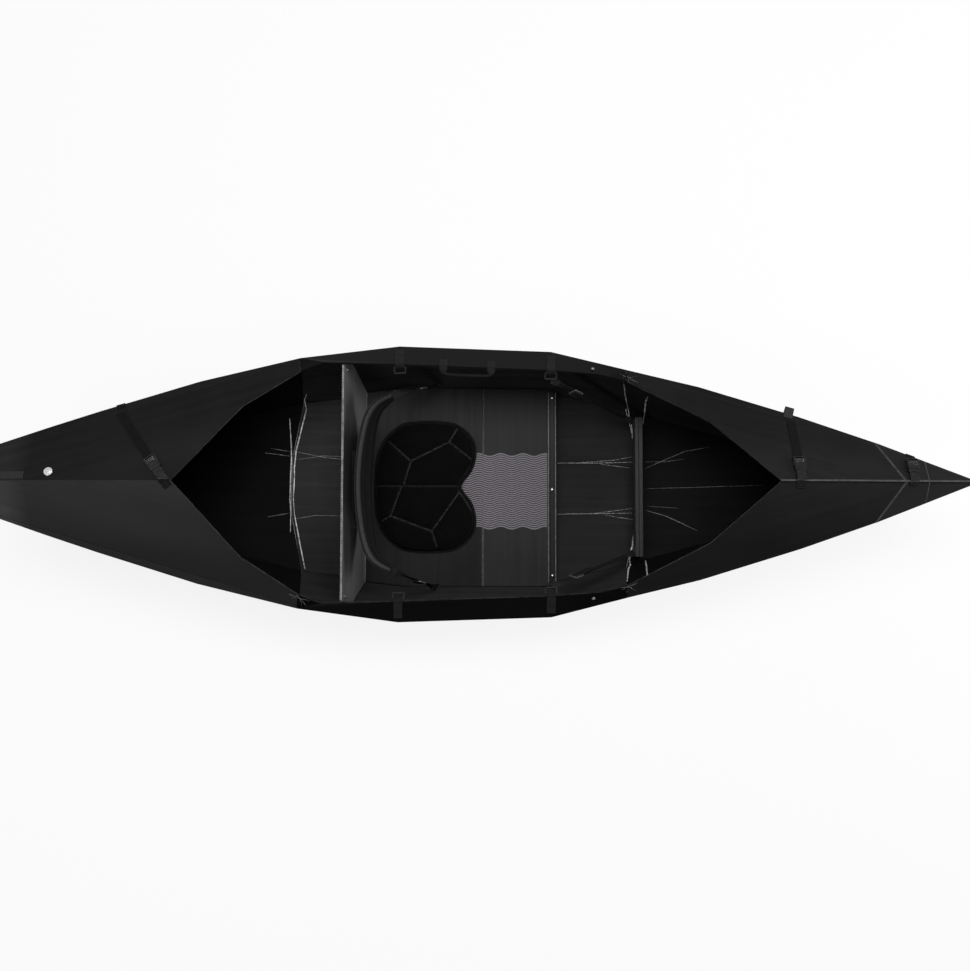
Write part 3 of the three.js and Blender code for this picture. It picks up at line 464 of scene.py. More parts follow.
# A place within the hull, which every inner skin faces and every outer skin turns away from.
KEEL_HEART = Vector((-0.05, 0, 0.22))
DECK_GRID = 0.024
BOARD_ROUND = 0.0011
FLANGE_LEVEL = 0.24


def board_piece(node, look, outer=None, flange=None, grid=0.0, pale=always, edge=cut_edge):
    """A plate of board made from its CAD node: rounded along its edges, pale where it is cut."""
    shape = merged_copy(node)
    mark_cut_edges(shape, pale)
    if outer:
        for face in shape.faces:
            middle = face.calc_center_median()
            if face.normal.dot(middle - KEEL_HEART) > 0.002:
                face.material_index = 2
            if flange and face.normal.z > 0.5 and middle.z > FLANGE_LEVEL:
                face.material_index = 3
    if grid:
        low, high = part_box(node)
        for axis, way in enumerate((Vector((1, 0, 0)), Vector((0, 1, 0)))):
            sliced(shape, way * low[axis], way, grid, int((high[axis] - low[axis]) / grid) + 1)
        bowed_up(shape)
    looks = [one for one in (look, edge, outer, flange) if one]
    plate = new_piece(node + "_board", shape, looks, body_of(node))
    rounded(plate, BOARD_ROUND)
    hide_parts(node)
    return plate


# The flutes' direction on each plate and the way the plate faces, for the port one of each pair
PAIRED_PLATES = (
    ("hull_side_", (1, 0, 0), (0, 0.91, -0.42)),
    ("gunwale_fold_", (1, -0.03, 0), (0, 0.74, 0.67)),
    ("bow_nose_deck_", (0.954, -0.292, 0.073), (0.05, 0.37, 0.93)),
    ("bow_deck_", (0.954, -0.292, 0.073), (0.05, 0.37, 0.93)),
    ("stern_deck_", (0.956, 0.29, -0.048), (0, 0.3, 0.95)),
    ("bow_side_", (0.95, -0.29, 0.07), (0.2, 0.9, -0.35)),
    ("stern_side_", (0.956, 0.29, -0.048), (-0.2, 0.9, -0.3)),
)
MIDDLE_PLATES = (
    ("hull_bottom", (1, 0, 0), (0, 0, 1)),
    ("bow_bottom", (1, 0, 0.1), (0, 0, 1)),
    ("stern_bottom", (1, 0, -0.08), (0, 0, 1)),
    ("transom", (0, 1, 0), (-0.95, 0, -0.25)),
)
SIDES = (("port", 1), ("starboard", -1))
sheet_plates = [
    (plate + side_name, side, (x, side * y, z), (u, side * v, w))
    for plate, (x, y, z), (u, v, w) in PAIRED_PLATES
    for side_name, side in SIDES
]
sheet_plates += [(plate, 1, along, facing) for plate, along, facing in MIDDLE_PLATES]
# How dark each stretch of the one black sheet is drawn, as painted light and shade, and how glossy.
PLATE_GREYS_WITH_PAINTED_LIGHT = (
    ("gunwale_fold_port", 0.0037, 0.006, 0.03),
    ("gunwale_fold_starboard", 0.001, 0.0022, 0.01),
    ("stern_deck_port", 0.0046, 0.008, 0.05),
    ("stern_deck_starboard", 0.0115, 0.0175, 0.09),
    ("bow_deck_starboard", 0.0078, 0.012, 0.05),
    ("bow_deck_port", 0.0068, 0.0112, 0.06),
    ("nose", 0.0085, 0.013, 0.06),
    ("hull_bottom", 0.0084, 0.0158, 0.03),
    ("stern_bottom", 0.0022, 0.0044, 0.01),
    ("bow_bottom", 0.0038, 0.0072, 0.012),
    ("hull_side_", 0.0165, 0.03, 0.02),
    ("bow_side_port", 0.011, 0.02, 0.015),
    ("side", 0.003, 0.006, 0.015),
    ("", 0.0065, 0.011, 0.03),
)
OUTER_GREYS = (0.0085, 0.0135)
# Painted light and shade where a stretch turns darker or paler: the direction, from and to, the grey.
PAINTED_LIGHT_FADES = {
    "stern_deck_port": [((-1, 0, 0), 1.26, 1.335, 0.016)],
    "stern_deck_starboard": [((0, -1, 0), 0.0, 0.2, 0.0028), ((-1, 0, 0), 1.27, 1.335, 0.03)],
    "bow_deck_starboard": [((0, -1, 0), 0.01, 0.17, 0.0042)],
    "bow_deck_port": [((0, 1, 0), 0.03, 0.2, 0.0055)],
    "hull_bottom": [((-1, 0, 0), 0.38, 0.46, 0.024), ((0, -1, 0), 0.02, 0.2, 0.0125)],
}
# The seam of the bow deck has a painted highlight on the port flap's edge and a painted shadow on the
# other.
SEAM_HIGHLIGHT_AND_SHADOW = {1: 0.075, -1: 0.0025}
SEAM_OFF, FOLD_HALF = 0.0022, 0.0036
sheet, deck_looks = {}, {}
for node, side, along, facing in sheet_plates:
    dark, light, gloss = next(finish[1:] for finish in PLATE_GREYS_WITH_PAINTED_LIGHT if finish[0] in node)
    look = board_material("board_" + node, along, facing, dark, light, gloss=gloss)
    for stretch in PAINTED_LIGHT_FADES.get(node, []):
        painted_light_fade(look, *stretch)
    if "bow" in node and "deck" in node:
        crease_and_light_line(look, (0, 1, 0), side * SEAM_OFF, FOLD_HALF, SEAM_HIGHLIGHT_AND_SHADOW[side])
        crease_and_light_line(look, (0.8467, side * 0.5319, 0), 0.9822, FOLD_HALF, 0.06)
    if "nose" in node:
        crease_and_light_line(look, (0.9994, side * 0.035, 0), 1.224, FOLD_HALF / 2, 0.055)
    if "_deck_" in node:
        deck_looks[node.replace("_nose", "").replace("deck", "side")] = look
        sheet[node] = board_piece(node, look, grid=DECK_GRID, pale=off_the_hinge)
    elif "fold" in node:
        # Fold edges as painted light: none pale to port, the dim pale edge inboard to starboard.
        cut = inboard_edge if side < 0 else never
        sheet[node] = board_piece(node, look, pale=cut, edge=shaded_edge)
    else:
        outer = board_material("outer_" + node, along, facing, *OUTER_GREYS, 0.36, gloss=0.22)
        sheet[node] = board_piece(node, look, pale=never, outer=outer, flange=deck_looks.get(node))


# Stress creases: where the sheet has been folded and opened again its skin turns pale, in fine broken
# lines across the bottom at the shoulders and along the floor.
def crease_material(name, low, high):
    material, tree = material_with(name, 0.55, Specular_IOR_Level=0.03)
    broken = ramped(noise(place_on(tree), 160.0, 4.0, 0.7), 0.38, 0.62)
    rough = ramped(broken, 0.0, 1.0, 0.65, 0.45)
    dressed(blended(broken, grey(low), grey(high)), rough, broken, 0.4, 0.0004)
    return material


sharp_white = crease_material("sharply_whitened_board", 0.12, 0.85)
stress_white = crease_material("stress_whitened_board", 0.05, 0.45)
soft_white = crease_material("softly_whitened_board", 0.03, 0.17)


def surfaces_of(items):
    """The faces of some pieces as one tree for dropping points on."""
    corners, faces = [], []
    for item in items:
        start = len(corners)
        corners += [corner.co.copy() for corner in item.data.vertices]
        faces += [[start + k for k in face.vertices] for face in item.data.polygons]
    return BVHTree.FromPolygons(corners, faces)


ABOVE_ALL = 0.6


def upward(way):
    return -way if way.z < 0 else way


def dropped(surface, point, gap):
    """The place on a surface straight below a point, held off by a gap, and the surface's normal."""
    start = Vector((point.x, point.y, ABOVE_ALL))
    place, normal, _, _ = surface.ray_cast(start, Vector((0, 0, -1)))
    if place is None:
        return None, None
    normal = upward(normal)
    return place + normal * gap, normal


def laid_inside(surface, point, gap):
    """The point of the hull's inner skin nearest to a point, held off by a gap, and its normal."""
    inwards = Vector((0, -0.6 * math.copysign(1, point.y), 1)).normalized()
    place, normal, _, _ = surface.find_nearest(point + inwards * 0.006)
    normal = -normal if normal.dot(inwards) < 0 else normal
    return place + normal * gap, normal


def way_at(points, k):
    """The direction of a line at one of its points."""
    return (points[min(k + 1, len(points) - 1)] - points[max(k - 1, 0)]).normalized()


def bridged(shape, rows):
    """Faces between neighbouring rows of corners, where each row is a closed ring."""
    for first, second in zip(rows, rows[1:]):
        for k, corner in enumerate(first):
            after = (k + 1) % len(first)
            shape.faces.new((corner, first[after], second[after], second[k]))


CREASE_GAP, CREASE_RISE, CREASE_ROOT = 0.00005, 0.0004, 0.0008


def crease_lines(name, surface, lines, look=stress_white, laid=laid_inside, step=0.008):
    """Thin tapered ridges along lines in the hull: each has its points in millimetres, and a width."""
    shape = bmesh.new()
    for *points, wide in lines:
        points = [Vector(point) / 1000 for point in points]
        length = sum((b - a).length for a, b in zip(points, points[1:]))
        path, shares, done = [], [], 0.0
        for first, second in zip(points, points[1:]):
            span = (second - first).length
            pieces = max(2, int(span / step))
            path += [first.lerp(second, k / pieces) for k in range(pieces)]
            shares += [(done + span * k / pieces) / length for k in range(pieces)]
            done += span
        path.append(points[-1])
        shares.append(1.0)
        rows = []
        for k, (middle, share) in enumerate(zip(path, shares)):
            place, normal = laid(surface, middle, CREASE_GAP)
            taper = 0.25 + 0.75 * math.sin(math.pi * min(1.0, 0.08 + 0.9 * share)) ** 0.6
            side = way_at(path, k).cross(normal).normalized() * (wide / 2000 * taper)
            ridge, root = place + normal * CREASE_RISE, place - normal * CREASE_ROOT
            row = (place - side, ridge, place + side, root)
            rows.append([shape.verts.new(point) for point in row])
        bridged(shape, rows)
        shape.faces.new(rows[0][::-1])
        shape.faces.new(rows[-1])
    bmesh.ops.recalc_face_normals(shape, faces=shape.faces)
    new_piece(name, shape, look, "hull")


STRETCHES = ("hull", "bow", "stern")
inner_plates = [sheet[stretch + "_bottom"] for stretch in STRETCHES]
inner_plates += [sheet[f"{stretch}_side_{side}"] for stretch in STRETCHES for side, _ in SIDES]
hull_inside = surfaces_of(inner_plates)
SHOULDER_CREASES = (
    ((-602, 214, 21), (-598, 131, 11), (-598, 91, 6), (-600, 38, 5), (-601, -40, 5), (-598, -83, 5),
     (-597, -142, 12), 3.0),
    ((-540, 278, 70), (-560, 208, 18), (-584, 115, 8), (-589, 66, 5), (-589, 16, 5), (-591, -40, 5),
     (-587, -90, 6), 3.5),
    ((-587, -86, 6), (-567, -179, 15), (-549, -256, 22), 3.4),
    ((408, 293, 185), (425, 266, 105), (446, 235, 22), (455, 204, 18), (465, 136, 10),
     (474, 95, 6), 3.6),
    ((486, 266, 145), (484, 253, 113), (491, 231, 50), (492, 198, 20), 4.6),
    ((472, -100, 7), (470, -115, 8), (460, -165, 14), (450, -211, 18), (438, -246, 53),
     (420, -282, 150), 5.0),
    ((494, -223, 28), (489, -240, 76), (479, -267, 154), 4.2),
)
FLOOR_CREASES = (
    ((-679, 108, 16), (-597, 98, 7), 1.2),
    ((-660, 122, 17), (-600, 112, 9), 1.1),
    ((-581, 112, 8), (-500, 96, 6), (-432, 88, 5), 1.2),
    ((-581, 88, 6), (-500, 100, 6), (-432, 98, 5), 1.1),
    ((-667, -95, 15), (-601, -83, 6), 1.1),
    ((-581, -100, 8), (-520, -90, 6), (-440, -92, 5), 1.2),
    ((227, 80, 5), (360, 80, 5), (475, 84, 5), 1.9),
    ((300, 82, 5), (400, 88, 5), (475, 102, 7), 1.2),
    ((360, 77, 5), (475, 62, 5), 1.2),
    ((226, -85, 5), (474, -81, 5), 1.9),
    ((330, -84, 5), (474, -65, 5), 1.2),
    ((375, -87, 6), (474, -103, 7), 1.2),
)
BOW_CREASES = (
    ((499, 0, 7), (852, 10, 55), 1.7),
    ((496, 62, 7), (560, 90, 18), (620, 116, 30), (690, 128, 44), 2.6),
    ((499, 84, 7), (560, 84, 16), (620, 92, 26), 1.7),
    ((499, -72, 7), (560, -90, 16), (656, -134, 30), 2.6),
    ((505, -60, 8), (600, -66, 20), 1.5),
)
crease_lines("shoulder_creases", hull_inside, SHOULDER_CREASES, sharp_white)
crease_lines("floor_creases", hull_inside, FLOOR_CREASES)
crease_lines("bow_floor_creases", hull_inside, BOW_CREASES, soft_white)
# Each line ends above the place that it crosses: the creases of the sheet meet there in a star.
GUNWALE_STARS = (
    ((384, 312, 0), (410, 300, 0), (440, 284, 0), 0.7),
    ((404, 318, 0), (410, 300, 0), (411, 288, 0), 0.6),
    ((434, 304, 0), (410, 300, 0), (396, 300, 0), 0.5),
    ((384, -296, 0), (408, -292, 0), (432, -282, 0), 0.7),
    ((402, -312, 0), (408, -292, 0), (408, -286, 0), 0.6),
    ((430, -306, 0), (408, -292, 0), (390, -300, 0), 0.5),
    ((-548, -316, 0), (-516, -328, 0), (-486, -334, 0), 0.7),
    ((-528, -318, 0), (-516, -328, 0), (-512, -350, 0), 0.6),
    ((-496, -350, 0), (-516, -328, 0), (-540, -326, 0), 0.5),
)
UPPER_PARTS = ("fold", "_side_", "deck")
uppers = [piece for name, piece in sheet.items() if any(part in name for part in UPPER_PARTS)]
gunwales = surfaces_of(uppers)
crease_lines("gunwale_stars", gunwales, GUNWALE_STARS, laid=dropped, step=0.004)


# Rear panel: a board of the same sheet that stands behind the floor and leans aft. Its top is a cut
# edge, its foot is a fold, and a rivet near each top corner ties it to the gunwale folds.
INK = (0.19, 0.175, 0.195)
PRINT_AFT, PRINT_FORE = -0.3, 0.194
PRINT_MIDDLE, PRINT_HALF = -0.0135, 0.1125
STRIPE_PITCH, SWAY_LENGTH, SWAY = 0.0067, 0.068, 0.0042


def printed_face(node):
    """The way a board's broad upper or forward face looks, and how far along it its middle lies."""
    shape = merged_copy(node)
    facing = max(shape.faces, key=lambda face: face.calc_area()).normal.copy()
    if facing.x + facing.z < 0:
        facing = -facing
    levels = [facing.dot(corner.co) for corner in shape.verts]
    shape.free()
    return facing, (min(levels) + max(levels)) / 2


def printed(material, node, aft=PRINT_AFT, top=1.0):
    """A band of plain parallel wavy stripes printed across the upper or forward face of a board."""
    tree = material.node_tree
    place = place_on(tree)
    parts = node_in(tree, "ShaderNodeSeparateXYZ", {0: place}).outputs
    wave = maths("SINE", times(parts["X"], 2 * math.pi / SWAY_LENGTH))
    level = maths("ADD", parts["Y"], times(wave, SWAY))
    turns = maths("FRACT", maths("DIVIDE", level, STRIPE_PITCH))
    off_stripe = maths("ABSOLUTE", maths("SUBTRACT", turns, 0.5))
    off_middle = maths("ABSOLUTE", maths("SUBTRACT", level, PRINT_MIDDLE))
    facing, middle = printed_face(node)
    share = ramped(noise(place, 220.0, 3.0, 0.6), 0.25, 0.55, 0.55, 1.0)
    for measure, bare, full in (
        (off_stripe, 0.34, 0.27),
        (off_middle, PRINT_HALF + 0.001, PRINT_HALF),
        (parts["X"], aft, aft + 0.001),
        (parts["X"], PRINT_FORE, PRINT_FORE - 0.001),
        (parts["Z"], top, top - 0.002),
        (dotted(place, facing), middle - 0.0004, middle + 0.0004),
    ):
        share = times(share, ramped(measure, bare, full))
    painted_over(share, INK)


PANEL_FACING = (0.98, 0, 0.17)
# The panel's greys, far paler than the rest of the sheet, are painted light from the bow lamp.
panel_look = board_material("rear_panel_board", (0, 1, 0), PANEL_FACING, 0.075, 0.12, 0.34, gloss=0.12)
# Painted shadow of the backrest across the panel's middle, and a paler starboard end.
painted_light_fade(panel_look, (0, -1, 0), -0.19, -0.13, 0.046)
painted_light_fade(panel_look, (0, -1, 0), 0.05, 0.12, 0.095)
# A painted highlight along the fold at the panel's foot.
crease_and_light_line(panel_look, (0, 0, 1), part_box("rear_panel")[0].z + 0.004, 0.004, 0.4)
printed(panel_look, "rear_panel", aft=-0.41, top=0.2)
rear_panel = board_piece("rear_panel", panel_look, edge=highlit_edge)


# Floor: two boards of the sheet, laid across the bottom and hinged to each other by a fold. Their
# flutes run athwart, and a band of wavy stripes is printed along the middle.
def floor_look(name, dark, light, fold):
    look = board_material(name, (0, 1, 0), (0, 0, -1), dark, light, 0.4, 0.0042)
    crease_and_light_line(look, (1, 0, 0), fold, 0.0019, 0.085)
    return look


# Rear board drawn darker than the front one, and paler to port: painted light and shade on one sheet.
rear_floor = floor_look("rear_floor_board", 0.011, 0.0165, -0.0045)
painted_light_fade(rear_floor, (0, 1, 0), 0.06, 0.22, 0.022)
front_floor = floor_look("front_floor_board", 0.019, 0.027, -0.0015)
for node, look in (("floorboard_rear", rear_floor), ("floorboard_front", front_floor)):
    printed(look, node)
    board_piece(node, look)


# Floor rail: a ribbed moulded strip that stiffens the front edge of the floor, held by three rivets.
# It is of the same grey-black plastic all through, with painted highlights along its ribs.
def build_moulded():
    """Fine grain, flow marks and dust of a moulded plastic part."""
    tree, given = group_with("moulded_grain", {"Scale": 1.0}, ("Height", "Shade"))
    scaled = {0: place_on(tree), "Scale": given["Scale"]}
    scaled = node_in(tree, "ShaderNodeVectorMath", scaled, operation="SCALE").outputs[0]
    grain, dust = noise(scaled, 2600.0, 2.0, 0.6), noise(scaled, 160.0, 5.0, 0.7)
    node_in(tree, "NodeGroupOutput", {"Height": grain, "Shade": dust})
    return tree


moulded_grain = build_moulded()


def plastic_material(name, dark, light, roughness=0.38, gloss=0.08, wear_and_glint=None):
    material, tree = material_with(name, roughness, Specular_IOR_Level=gloss)
    grain = placed(tree, moulded_grain, Scale=1.0)
    wear = placed(tree, edge_wear, Radius=0.0006)
    # The pale edges stand for wear and for painted highlights where the lamps catch them.
    rubbed = grey(wear_and_glint) if wear_and_glint else tuple(2.4 * value + 0.015 for value in grey(light))
    colour = blended(ramped(grain["Shade"], 0.35, 0.7), grey(dark), grey(light))
    colour = blended(times(wear["Mask"], 0.6), colour, rubbed)
    rough = ramped(grain["Shade"], 0.3, 0.7, roughness - 0.06, roughness + 0.1)
    dressed(colour, rough, grain["Height"], 0.25, 0.00008, wear["Normal"])
    return material


# Buckle plastic: its pale edges are partly wear and partly painted highlights.
black_plastic = plastic_material("black_acetal", 0.0035, 0.012, 0.22, 0.17, 0.45)
rail_plastic = plastic_material("grey_black_rail", 0.007, 0.014, 0.34)


def moulded_piece(node, look, width, steps=3, lift=None):
    """A moulded part made from its CAD node, with rounded edges, and raised with the deck below it."""
    shape = merged_copy(node)
    rise = deck_rise(*lift) if lift else 0.0
    for corner in shape.verts:
        corner.co.z += rise
    part = new_piece(node + "_moulding", shape, look, body_of(node))
    rounded(part, width, steps)
    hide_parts(node)
    return part


# Painted highlights along the rail's two ribs.
for edge in (0.1968, 0.2192):
    crease_and_light_line(rail_plastic, (1, 0, 0), edge, 0.0022, 0.16)
moulded_piece("floor_rail", rail_plastic, 0.0007)


# Rivets: domed aluminium heads on a thin flange, through the rail, the panel and the gunwale folds.
# Those of the rail are bright, and the others have weathered dull.
def brushed_metal(name, dark, light):
    material, tree = material_with(name, 0.32, Metallic=1.0)
    marks = noise(place_on(tree), 700.0, 4.0, 0.65)
    colour = blended(ramped(marks, 0.35, 0.65), dark, light)
    dressed(colour, ramped(marks, 0.3, 0.7, 0.24, 0.45), marks, 0.2, 0.0001)
    return material


rivet_metal = brushed_metal("rivet_aluminium", (0.35, 0.35, 0.36), (0.62, 0.62, 0.63))
dull_metal = brushed_metal("weathered_aluminium", grey(0.06), grey(0.2))


def repeating_tree(name, sizes, finish):
    """A new geometry tree that is given points or lines, some sizes and a finish."""
    tree = bpy.data.node_groups.new(name, "GeometryNodeTree")
    sockets = [("Geometry", "Geometry")] + [(size, "Float") for size in sizes] + [(finish, "Material")]
    for socket, kind in sockets:
        tree.interface.new_socket(socket, in_out="INPUT", socket_type="NodeSocket" + kind)
    tree.interface.new_socket("Geometry", in_out="OUTPUT", socket_type="NodeSocketGeometry")
    return tree, tree.nodes.new("NodeGroupInput").outputs


def set_out(tree, points, shape, way, scale, finish):
    """Sets a shape on every point, turned along a direction, and ends the tree with real faces."""
    turned = node_in(tree, "FunctionNodeAlignRotationToVector", {"Vector": way}).outputs[0]
    size = node_in(tree, "ShaderNodeCombineXYZ", dict(enumerate(scale))).outputs[0]
    copies = {"Points": points, "Instance": shape, "Rotation": turned, "Scale": size}
    copies = node_in(tree, "GeometryNodeInstanceOnPoints", copies).outputs[0]
    real = node_in(tree, "GeometryNodeRealizeInstances", {0: copies}).outputs[0]
    painted = {"Geometry": real, "Material": finish}
    painted = node_in(tree, "GeometryNodeSetMaterial", painted).outputs[0]
    node_in(tree, "NodeGroupOutput", {0: painted})


def build_rivets():
    """Sets a domed head with a flange on every point, turned to the direction kept in it."""
    tree, given = repeating_tree("domed_rivets", ("Radius", "Dome"), "Metal")
    head = node_in(tree, "GeometryNodeMeshUVSphere", {"Segments": 14, "Rings": 8, "Radius": 1.0})
    flange = node_in(tree, "GeometryNodeMeshCylinder", {"Vertices": 18, "Radius": 1.22, "Depth": 0.3})
    both = node_in(tree, "GeometryNodeJoinGeometry", {0: head.outputs["Mesh"]})
    tree.links.new(flange.outputs["Mesh"], both.inputs[0])
    facing = tree.nodes.new("GeometryNodeInputNamedAttribute")
    facing.data_type, facing.inputs["Name"].default_value = "FLOAT_VECTOR", "facing"
    way = facing.outputs["Attribute"]
    scale = (given["Radius"], given["Radius"], given["Dome"])
    set_out(tree, given["Geometry"], both.outputs[0], way, scale, given["Metal"])
    return tree


domed_rivets = build_rivets()


def grown(name, mesh, tree, values, body):
    """Runs a geometry tree on a mesh and keeps its result as one plain piece."""
    item = bpy.data.objects.new(name, mesh)
    scene.collection.objects.link(item)
    growth = item.modifiers.new("growth", "NODES")
    growth.node_group = tree
    for socket in tree.interface.items_tree:
        if socket.in_out == "INPUT" and socket.name in values:
            growth[socket.identifier] = values[socket.name]
    plain_mesh(item)
    smoothed(item, 40)
    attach(item, body)


def rivets(name, places, body, radius, metal):
    """Rivet heads: each place is a point and the direction that the head faces."""
    mesh = bpy.data.meshes.new(name)
    mesh.from_pydata([tuple(point) for point, _ in places], [], [])
    facing = mesh.attributes.new("facing", "FLOAT_VECTOR", "POINT")
    for k, (_, way) in enumerate(places):
        facing.data[k].vector = way
    values = {"Radius": radius, "Dome": radius * DOME_SHARE, "Metal": metal}
    grown(name, mesh, domed_rivets, values, body)


RIVET_GAP = 0.0004
RAIL_HEAD, SHEET_HEAD, DOME_SHARE = 0.0049, 0.0042, 0.67
rail_places = [((0.208, y, 0.0556), (0, 0, 1)) for y in (0.273, -0.008, -0.27)]
rivets("rail_rivets", rail_places, "front_floor", RAIL_HEAD, rivet_metal)
folds = surfaces_of([sheet["gunwale_fold_port"], sheet["gunwale_fold_starboard"]])
panel_face = surfaces_of([rear_panel])
fold_places = [dropped(folds, Vector((0.309, y, 0)), RIVET_GAP) for y in (0.325, -0.325)]
for y in (0.322, -0.322):
    place, normal, _, _ = panel_face.ray_cast(Vector((0, y, 0.262)), Vector((-1, 0, 0)))
    fold_places.append((place + normal * RIVET_GAP, normal))
rivets("fold_and_panel_rivets", fold_places, "hull", SHEET_HEAD, dull_metal)


# Seat pad: a lobed cushion of closed-cell foam in knitted cloth, notched in front. It is sewn through
# along branching channels, and bound round its foot by a narrow hem.
def build_knit():
    """Fine knitted loops, fuzz and faded patches of the cushion cloth."""
    tree, given = group_with("knit_cloth", {"Pitch": 0.0016}, ("Height", "Shade"))
    place = place_on(tree)
    loops = {"Vector": place, "Scale": maths("DIVIDE", 1.0, given["Pitch"])}
    loops = node_in(tree, "ShaderNodeTexVoronoi", loops).outputs["Distance"]
    rise = maths("SUBTRACT", 1.0, loops)
    height = maths("ADD", rise, times(noise(place, 900.0, 3.0, 0.7), 0.4))
    patches = times(noise(place, 24.0, 4.0, 0.6), 0.7)
    shade = maths("ADD", patches, times(rise, 0.3))
    node_in(tree, "NodeGroupOutput", {"Height": height, "Shade": shade})
    return tree


knit_cloth = build_knit()


def cushion_material(name, dark, light, seam, least=0.12):
    """Knitted cloth, paler in broken lines along sewn channels and in a painted highlight atop the
    backrest.
    """
    material, tree = material_with(name, 0.85, Specular_IOR_Level=0.02, Sheen_Weight=0.02)
    knit = placed(tree, knit_cloth, Pitch=0.0019)
    seam_and_highlight_share = node_in(tree, "ShaderNodeAttribute", attribute_name="seams_and_painted_highlight").outputs["Fac"]
    broken = ramped(noise(place_on(tree), 150.0, 3.0, 0.7), 0.38, 0.6, least, 1.0)
    colour = blended(ramped(knit["Shade"], 0.35, 0.75), dark, light)
    colour = blended(times(seam_and_highlight_share, broken), colour, seam)
    dressed(colour, ramped(knit["Shade"], 0.3, 0.8, 0.8, 0.95), knit["Height"], 0.5, 0.0005)
    return material


def curve_through(points, count, closed=False):
    """Points evenly spaced along a smooth curve through the given ones."""
    total = len(points)
    fine = []
    for i in range(total if closed else total - 1):
        near = [(i + k) % total if closed else min(max(i + k, 0), total - 1) for k in (-1, 0, 1, 2)]
        a, b, c, d = (points[k] for k in near)
        for t in (step / 24 for step in range(24)):
            bend = (2 * a - 5 * b + 4 * c - d) * t**2 + (3 * b - a - 3 * c + d) * t**3
            fine.append(0.5 * (2 * b + (c - a) * t + bend))
    fine.append(points[0] if closed else points[-1])
    reach = [0.0]
    for first, second in zip(fine, fine[1:]):
        reach.append(reach[-1] + (second - first).length)
    even, k = [], 0
    for i in range(count):
        target = reach[-1] * i / (count if closed else count - 1)
        while k < len(reach) - 2 and reach[k + 1] < target:
            k += 1
        share = (target - reach[k]) / max(1e-9, reach[k + 1] - reach[k])
        even.append(fine[k].lerp(fine[k + 1], min(1.0, share)))
    return even


def skinned(rings):
    """A closed body over rings of equal size, with fanned ends."""
    shape = bmesh.new()
    rows = [[shape.verts.new(point) for point in ring] for ring in rings]
    bridged(shape, rows)
    for row in (rows[0], rows[-1]):
        middle = shape.verts.new(sum((corner.co for corner in row), Vector()) / len(row))
        for k, corner in enumerate(row):
            shape.faces.new((corner, row[(k + 1) % len(row)], middle))
    bmesh.ops.recalc_face_normals(shape, faces=shape.faces)
    return shape


VOXEL, CLOTH_PRESSURE, CLOTH_STEPS = 0.005, 4.0, 20


def puffed(item, held, furthest):
    """Remeshes a closed cushion, blows it up as cloth with some of its points held, and smooths it."""
    remesh = item.modifiers.new("even", "REMESH")
    remesh.mode, remesh.voxel_size = "VOXEL", VOXEL
    plain_mesh(item)
    start = [corner.co.copy() for corner in item.data.vertices]
    pins = item.vertex_groups.new(name="held")
    for k, place in enumerate(start):
        pins.add([k], held(place), "REPLACE")
    cloth = item.modifiers.new("cloth", "CLOTH")
    cloth.settings.use_pressure = True
    cloth.settings.uniform_pressure_force = CLOTH_PRESSURE
    cloth.settings.effector_weights.gravity = 0
    cloth.settings.vertex_group_mass = "held"
    cloth.point_cache.frame_start, cloth.point_cache.frame_end = 1, CLOTH_STEPS
    for frame_number in range(1, CLOTH_STEPS + 1):
        scene.frame_set(frame_number)
    plain_mesh(item)
    scene.frame_set(1)
    for corner, place in zip(item.data.vertices, start):
        step = corner.co - place
        if step.length > furthest:
            corner.co = place + step.normalized() * furthest
    finish = item.modifiers.new("finish", "SUBSURF")
    finish.levels = finish.render_levels = 1
    plain_mesh(item)
    smoothed(item)


# Half of the seat's outline from its notch to its tail, and its sewn lines, in millimetres from above
SEAT_HALF = (
    (-76, 0), (-66, 22), (-42, 55), (-31, 100), (-40, 145), (-84, 184), (-140, 194), (-200, 194),
    (-252, 184), (-300, 142), (-324, 80), (-329, 0),
)
SEAT_SEAMS = (
    (-290, 137, -221, 76), (-221, 76, -106, 134), (-106, 134, -79, 179), (-106, 134, -39, 83),
    (-221, 76, -242, 7), (-329, 0, -70, 0), (-251, -5, -281, -90), (-281, -90, -157, -136),
    (-157, -136, -76, -20), (-157, -136, -142, -183), (-281, -90, -305, -104), (-76, -14, -36, -75),
    (-70, 16, -39, 61),
)
SEAT_FOOT, SEAT_TOP = 0.0503, 0.0888
SEAT_MIDDLE = Vector((-0.18, 0, 0))
# How far out each ring of the seat lies, and how high, as shares
SEAT_RINGS = (
    (0.955, 0.0), (0.98, 0.14), (0.99, 0.4), (0.975, 0.66), (0.94, 0.82), (0.88, 0.91), (0.8, 0.95),
    (0.69, 0.965), (0.57, 0.96), (0.44, 0.95), (0.3, 0.94), (0.15, 0.935),
)
seat_round = [Vector((x, y, 0)) / 1000 for x, y in SEAT_HALF]
seat_round += [Vector((x, -y, 0)) / 1000 for x, y in SEAT_HALF[-2:0:-1]]
seat_line = curve_through(seat_round, 180, closed=True)
seams = [(Vector((a, b, 0)) / 1000, Vector((c, d, 0)) / 1000) for a, b, c, d in SEAT_SEAMS]
rings = []
for spread, rise in SEAT_RINGS:
    level = Vector((0, 0, SEAT_FOOT + (SEAT_TOP - SEAT_FOOT) * rise))
    rings.append([SEAT_MIDDLE + (point - SEAT_MIDDLE) * spread + level for point in seat_line])
# The dark and light of the cloth, and the colour of its sewn lines
SEAT_COLOURS = ((0.0016, 0.0016, 0.0017), (0.0036, 0.0036, 0.0038), (0.042, 0.042, 0.043))
seat_cloth = cushion_material("seat_knit", *SEAT_COLOURS)
seat = new_piece("seat_cushion", skinned(rings), seat_cloth, "hull")


